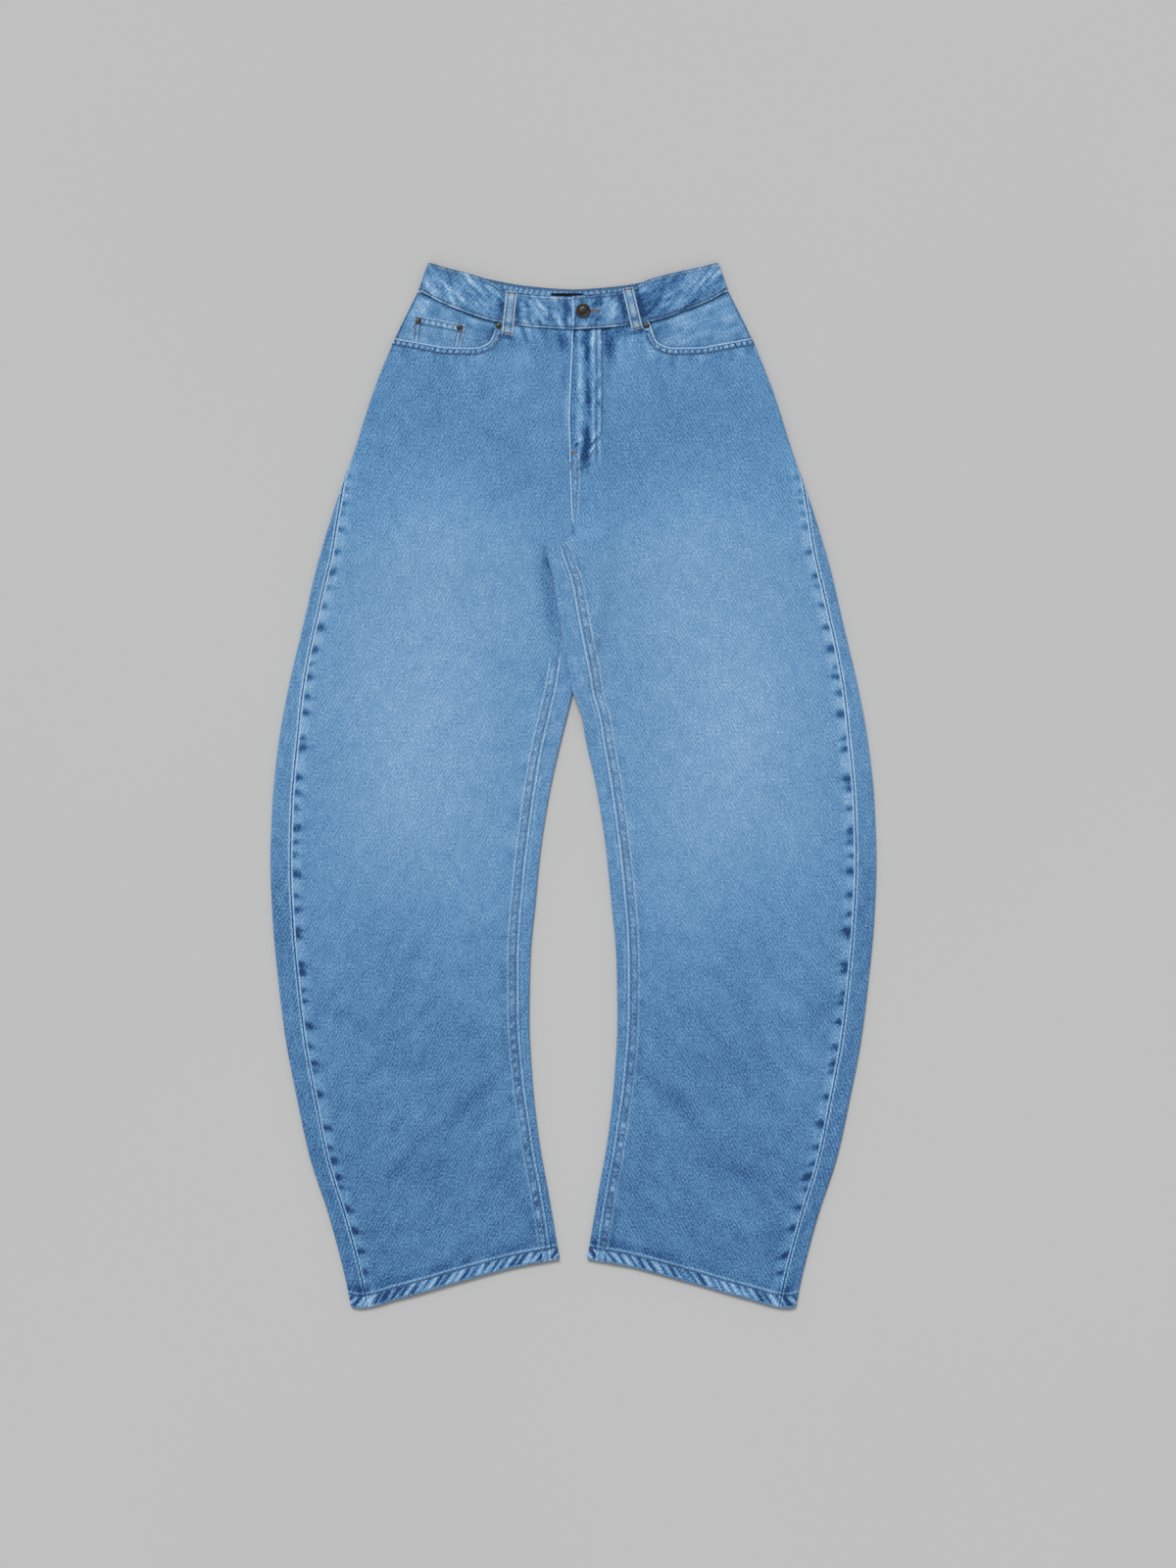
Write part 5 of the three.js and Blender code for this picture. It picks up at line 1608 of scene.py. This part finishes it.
class Nodes:
    """A new material, with short calls for the nodes that the materials share."""

    def __init__(self, name):
        self.material = bpy.data.materials.new(name)
        self.material.use_nodes = True
        self.tree = self.material.node_tree

    def feed(self, node, inputs):
        """Links what is a socket, and sets what is a value."""
        for key, value in inputs.items():
            if isinstance(value, bpy.types.NodeSocket):
                self.tree.links.new(value, node.inputs[key])
            else:
                node.inputs[key].default_value = value

    def add(self, kind, inputs, **settings):
        node = self.tree.nodes.new(kind)
        for key, value in settings.items():
            setattr(node, key, value)
        self.feed(node, inputs)
        return node

    def object_place(self):
        return self.add("ShaderNodeTexCoord", {}).outputs["Object"]

    def cloth_map(self):
        return self.add("ShaderNodeUVMap", {}, uv_map="Cloth").outputs["UV"]

    def math(self, operation, first, second):
        return self.add("ShaderNodeMath", {0: first, 1: second}, operation=operation).outputs[0]

    def noise(self, vector, stretch, detail=2.0, roughness=0.5):
        mapped = self.add("ShaderNodeMapping", {"Vector": vector, "Scale": stretch}).outputs[0]
        inputs = {"Vector": mapped, "Scale": 1.0, "Detail": detail, "Roughness": roughness}
        return self.add("ShaderNodeTexNoise", inputs).outputs["Fac"]

    def centred(self, value, amount):
        """A noise made to swing round nought by an amount."""
        return self.math("MULTIPLY", self.math("SUBTRACT", value, 0.5), amount)

    def ramp(self, value, stops):
        node = self.add("ShaderNodeValToRGB", {"Fac": value})
        elements = node.color_ramp.elements
        while len(elements) < len(stops):
            elements.new(0.5)
        for element, (place, colour) in zip(elements, stops):
            element.position = place
            element.color = (*colour, 1)
        return node.outputs["Color"]

    def blend(self, factor, first, second):
        inputs = {0: factor, 6: first, 7: second}
        return self.add("ShaderNodeMix", inputs, data_type="RGBA").outputs[2]

    def bump(self, height, strength, distance):
        inputs = {"Height": height, "Strength": strength, "Distance": distance}
        return self.add("ShaderNodeBump", inputs).outputs[0]

    def finish(self, inputs):
        self.feed(self.tree.nodes["Principled BSDF"], inputs)
        return self.material


def linear(colour):
    """A colour given as it is seen, from 0 to 255, in linear light."""
    seen = np.asarray(colour, float) / 255
    light = np.where(seen <= 0.04045, seen / 12.92, ((seen + 0.055) / 1.055) ** 2.4)
    return tuple(float(v) for v in light)


def shade(colour, amount=1.0):
    """A darker or paler form of a colour."""
    return tuple(min(amount * v, 1) for v in colour[:3])


DENIM_STOPS = [
    (0.0, (24, 55, 98)), (0.22, (46, 90, 140)), (0.45, (78, 125, 169)),
    (0.6, (96, 144, 187)), (0.8, (126, 166, 203)), (1.0, (171, 197, 221)),
]


def denim():
    """Washed denim: pale where it is worn, dark in the dips, with a coarse uneven grain, and with
    the painted shade and shadow that its attribute carries.
    """
    nodes = Nodes("washed_denim")
    fade = nodes.add("ShaderNodeAttribute", {}, attribute_name="Fade", attribute_type="GEOMETRY")
    parts = nodes.add("ShaderNodeSeparateXYZ", {"Vector": fade.outputs["Vector"]})
    base_tone, wear_and_shade, brown = parts.outputs
    uv = nodes.cloth_map()
    grain = nodes.noise(uv, (600, 430, 1), 1.5, 0.6)
    streaks = nodes.noise(uv, (480, 60, 1))
    blotches = nodes.noise(uv, (85, 62, 1), 3.0, 0.6)
    turned = nodes.add("ShaderNodeMapping", {"Vector": uv, "Rotation": (0, 0, math.radians(-30))})
    lines = {"Vector": turned.outputs[0], "Scale": 92.0, "Distortion": 3.5, "Detail": 2.0}
    twill = nodes.add("ShaderNodeTexWave", lines).outputs["Fac"]
    dark_cloth = nodes.math("SUBTRACT", 1.95, nodes.math("MULTIPLY", base_tone, 1.27))
    weave = nodes.math("ADD", nodes.centred(grain, 0.85), nodes.centred(twill, 0.11))
    tone = nodes.math("ADD", base_tone, nodes.math("MULTIPLY", weave, dark_cloth))
    for value, amount in ((streaks, 0.22), (blotches, 0.22), (wear_and_shade, 0.95)):
        tone = nodes.math("ADD", tone, nodes.centred(value, amount))
    colour = nodes.ramp(tone, [(place, linear(seen)) for place, seen in DENIM_STOPS])
    dirt = nodes.math("MULTIPLY", brown, 0.55)
    rough = nodes.math("ADD", nodes.math("MULTIPLY", twill, 0.4), grain)
    return nodes.finish({
        "Base Color": nodes.blend(dirt, colour, (*linear((82, 76, 74)), 1)),
        "Roughness": 0.92, "Sheen Weight": 0.12, "Sheen Roughness": 0.5,
        "Specular IOR Level": 0.15, "Normal": nodes.bump(rough, 0.4, 0.0003),
    })


def thread_material(name, colour):
    nodes = Nodes(name)
    place = nodes.object_place()
    change = nodes.noise(place, (90, 90, 90))
    twist = nodes.noise(place, (2600, 2600, 2600), 1.0)
    amount = nodes.math("ADD", nodes.centred(change, 0.9), nodes.centred(twist, 0.5))
    stops = [(0.15, shade(colour, 0.55)), (0.85, shade(colour, 1.35))]
    tint = nodes.ramp(nodes.math("ADD", amount, 0.5), stops)
    return nodes.finish({"Base Color": tint, "Roughness": 0.7, "Sheen Weight": 0.2})


def metal_material(name, colour, patina):
    nodes = Nodes(name)
    spots = nodes.noise(nodes.object_place(), (420, 420, 420), 4.0, 0.65)
    return nodes.finish({
        "Base Color": nodes.ramp(spots, [(0.35, patina), (0.62, shade(colour))]),
        "Roughness": nodes.math("ADD", nodes.math("MULTIPLY", spots, 0.35), 0.22),
        "Metallic": 0.9, "Normal": nodes.bump(spots, 0.2, 0.0001),
    })


def label_material(colour):
    nodes = Nodes("label_weave")
    weave = nodes.noise(nodes.cloth_map(), (2600, 900, 1), 2.0, 0.7)
    return nodes.finish({
        "Base Color": nodes.ramp(weave, [(0.3, shade(colour, 0.6)), (0.7, shade(colour))]),
        "Roughness": 0.8, "Specular IOR Level": 0.1, "Normal": nodes.bump(weave, 0.3, 0.0001),
    })


def floor_material(colour):
    nodes = Nodes("pale_floor")
    change = nodes.noise(nodes.object_place(), (1.2, 1.2, 1.2))
    return nodes.finish({
        "Base Color": nodes.ramp(change, [(0.3, shade(colour, 0.985)), (0.7, shade(colour))]),
        "Roughness": 0.95, "Specular IOR Level": 0.0,
    })


def shared(name, make):
    """A material made once and then found by its name."""
    return bpy.data.materials.get(name) or make()


def colour_setting(name, description, seen):
    """A colour, with its default as it is seen, from 0 to 255."""
    return FloatVectorProperty(
        name=name, description=description, size=4, default=(*linear(seen), 1),
        subtype="COLOR", min=0, max=1,
    )


def length_setting(name, description, default, least=0.0):
    return FloatProperty(
        name=name, description=description, default=default, min=least, unit="LENGTH",
        subtype="DISTANCE",
    )


# Settings, operators and panel

class JeansSettings(PropertyGroup):
    """Sizes and colours that a user would change."""

    stitch_pitch: length_setting("Stitch length", "From one stitch to the next", 0.0031, 0.0015)
    thread_thickness: length_setting(
        "Thread", "Thickness of the sewing thread", 0.00062, 0.0002
    )
    thread_blue: colour_setting("Blue thread", "Thread of the inseams and hems", (72, 98, 134))
    thread_tan: colour_setting(
        "Tan thread", "Thread of the waist, fly and pockets", (112, 104, 100)
    )
    thread_orange: colour_setting(
        "Orange thread", "Thread of the bartacks and the buttonhole", (132, 100, 80)
    )
    brass: colour_setting("Rivets", "Colour of the worn brass rivets", (92, 90, 78))
    gunmetal: colour_setting("Button", "Colour of the dark waist button", (74, 70, 68))
    label: colour_setting("Label", "Colour of the plain label inside the waist", (24, 27, 36))


class StageSettings(PropertyGroup):
    """Floor, light and camera."""

    floor: colour_setting("Floor", "Colour of the floor", (191, 191, 191))
    key_strength: FloatProperty(
        name="Key light", description="Strength of the light from beyond the waist", default=2.1,
    )
    fill_strength: FloatProperty(
        name="Fill light", description="Strength of the light from all round", default=0.5,
    )
    camera_height: length_setting("Camera height", "Height of the camera above the floor", 5.0)
    view_height: length_setting("View height", "Length of floor that the picture shows", 1.696)


KEY_PLACE = (-0.8, 2.4, 3)
VIEW_MIDDLE = (0.0159, 0.0016)
SENSOR = 36


class JEANS_OT_stage(Operator):
    """Lay the floor, and set up the light and the camera straight above"""

    bl_idname = "jeans.stage"
    bl_label = "Stage"

    def execute(self, context):
        stage = context.scene.jeans_stage
        bpy.ops.object.select_all(action="DESELECT")
        bpy.ops.mesh.primitive_plane_add(size=8, location=(0, 0, 0))
        floor = context.active_object
        floor.name = "floor"
        floor.data.materials.append(floor_material(stage.floor))
        bpy.ops.object.light_add(type="SUN", location=KEY_PLACE)
        key = context.active_object
        key.name = "key_light"
        key.data.energy = stage.key_strength
        key.data.angle = math.radians(24)
        key.rotation_euler = (-Vector(KEY_PLACE)).to_track_quat("-Z", "Y").to_euler()
        world = bpy.data.worlds.new("studio")
        world.use_nodes = True
        sky = world.node_tree.nodes["Background"].inputs
        sky["Strength"].default_value = stage.fill_strength
        sky["Color"].default_value = (1, 1, 1, 1)
        context.scene.world = world
        bpy.ops.object.camera_add(location=(*VIEW_MIDDLE, stage.camera_height))
        camera = context.active_object
        camera.name = "camera"
        camera.data.sensor_width = SENSOR
        camera.data.lens = SENSOR * stage.camera_height / stage.view_height
        camera.data.clip_end = 50
        context.scene.camera = camera
        context.scene.view_settings.view_transform = "Standard"
        return {"FINISHED"}


class JEANS_OT_fronts(Operator):
    """Make the two front panels"""

    bl_idname = "jeans.fronts"
    bl_label = "Front panels"

    def execute(self, context):
        for leg in LEGS:
            front_panel(leg)
        return {"FINISHED"}


class JEANS_OT_backs(Operator):
    """Make the two back panels, which come round to the seams on top"""

    bl_idname = "jeans.backs"
    bl_label = "Back panels"

    def execute(self, context):
        for leg in LEGS:
            back_panel(leg)
            yoke(leg)
        return {"FINISHED"}


class JEANS_OT_waist(Operator):
    """Make the two halves of the waistband and the label inside"""

    bl_idname = "jeans.waist"
    bl_label = "Waistband"

    def execute(self, context):
        for leg in LEGS:
            waistband(leg)
        inner_label(context.scene.jeans.label)
        return {"FINISHED"}


class JEANS_OT_pockets(Operator):
    """Make the pocket facings, the coin pocket and the back pockets"""

    bl_idname = "jeans.pockets"
    bl_label = "Pockets"

    def execute(self, context):
        for leg in LEGS:
            pocket_facing(leg)
            back_pocket(leg)
        coin_pocket()
        return {"FINISHED"}


class JEANS_OT_loops(Operator):
    """Make the five belt loops"""

    bl_idname = "jeans.loops"
    bl_label = "Belt loops"

    def execute(self, context):
        for leg in LEGS:
            front_loop(leg)
            back_loop(f"belt_loop_back_{leg.name}", leg, 118, 0.12)
        back_loop("belt_loop_centre", LEFT, 6, 0)
        return {"FINISHED"}


class JEANS_OT_sewing(Operator):
    """Sew every visible seam with real stitches"""

    bl_idname = "jeans.sewing"
    bl_label = "Sewing"

    def execute(self, context):
        settings = context.scene.jeans
        form = stitch_form()
        blue, tan, orange = (Thread(settings, form) for _ in range(3))
        for leg in LEGS:
            inseam_rows(blue, tan, leg)
            hem_row(tan, leg)
            mouth_rows(tan, leg)
            band_row(tan, leg, from_low=2.4, inset=-0.15)
            band_row(tan, leg, from_top=3.6, inset=-0.1)
            loop_rows(tan, leg)
        fly_rows(tan, blue)
        rise_rows(blue, tan)
        coin_rows(tan)
        hidden_rows(tan)
        bartacks(orange)
        buttonhole(orange)
        blue.make("stitches_blue", thread_material("thread_blue", settings.thread_blue))
        tan.make("stitches_tan", thread_material("thread_tan", settings.thread_tan))
        orange.make("bartacks_orange", thread_material("thread_orange", settings.thread_orange))
        return {"FINISHED"}


class JEANS_OT_metal(Operator):
    """Make the waist button and the four rivets"""

    bl_idname = "jeans.metal"
    bl_label = "Button and rivets"

    def execute(self, context):
        settings = context.scene.jeans
        dark = metal_material("gunmetal", settings.gunmetal, linear((40, 36, 34)))
        brass = metal_material("worn_brass", settings.brass, linear((38, 40, 38)))
        button = turned_piece(
            "waist_button_metal", BUTTON_RADIUS, 0.5, 1.15, BUTTON_TOP, BUTTON_BACK, 64
        )
        set_metal(button, "waist_button", dark, (10.6, BUTTON_Y, 10.2))
        first = turned_piece("rivet", RIVET_RADIUS, 0, 0.38, RIVET_TOP, [], 40)
        for node, leg, a, h, z in RIVETS:
            rivet = first.copy()
            rivet.data = first.data.copy()
            rivet.name = f"{node}_metal"
            context.scene.collection.objects.link(rivet)
            set_metal(rivet, node, brass, (leg.side * a, h - MIDDLE, z))
        bpy.data.objects.remove(first)
        return {"FINISHED"}


class JEANS_PT_panel(Panel):
    """Steps that dress the jeans"""

    bl_idname = "JEANS_PT_panel"
    bl_label = "Barrel leg jeans"
    bl_space_type = "VIEW_3D"
    bl_region_type = "UI"
    bl_category = "Jeans"

    def draw(self, context):
        layout = self.layout
        for group in (context.scene.jeans_stage, context.scene.jeans):
            for name in group.bl_rna.properties.keys():
                if name not in ("rna_type", "name"):
                    layout.prop(group, name)
        for step in STEPS:
            layout.operator(step.bl_idname)


STEPS = (
    JEANS_OT_stage, JEANS_OT_fronts, JEANS_OT_backs, JEANS_OT_waist, JEANS_OT_pockets,
    JEANS_OT_loops, JEANS_OT_sewing, JEANS_OT_metal,
)
CLASSES = (JeansSettings, StageSettings, *STEPS, JEANS_PT_panel)


def register():
    for cls in CLASSES:
        bpy.utils.register_class(cls)
    bpy.types.Scene.jeans = PointerProperty(type=JeansSettings)
    bpy.types.Scene.jeans_stage = PointerProperty(type=StageSettings)


def unregister():
    del bpy.types.Scene.jeans_stage
    del bpy.types.Scene.jeans
    for cls in reversed(CLASSES):
        bpy.utils.unregister_class(cls)


def main():
    register()
    for step in ("stage", "fronts", "backs", "waist", "pockets", "loops", "sewing", "metal"):
        getattr(bpy.ops.jeans, step)()


if __name__ == "__main__":
    main()
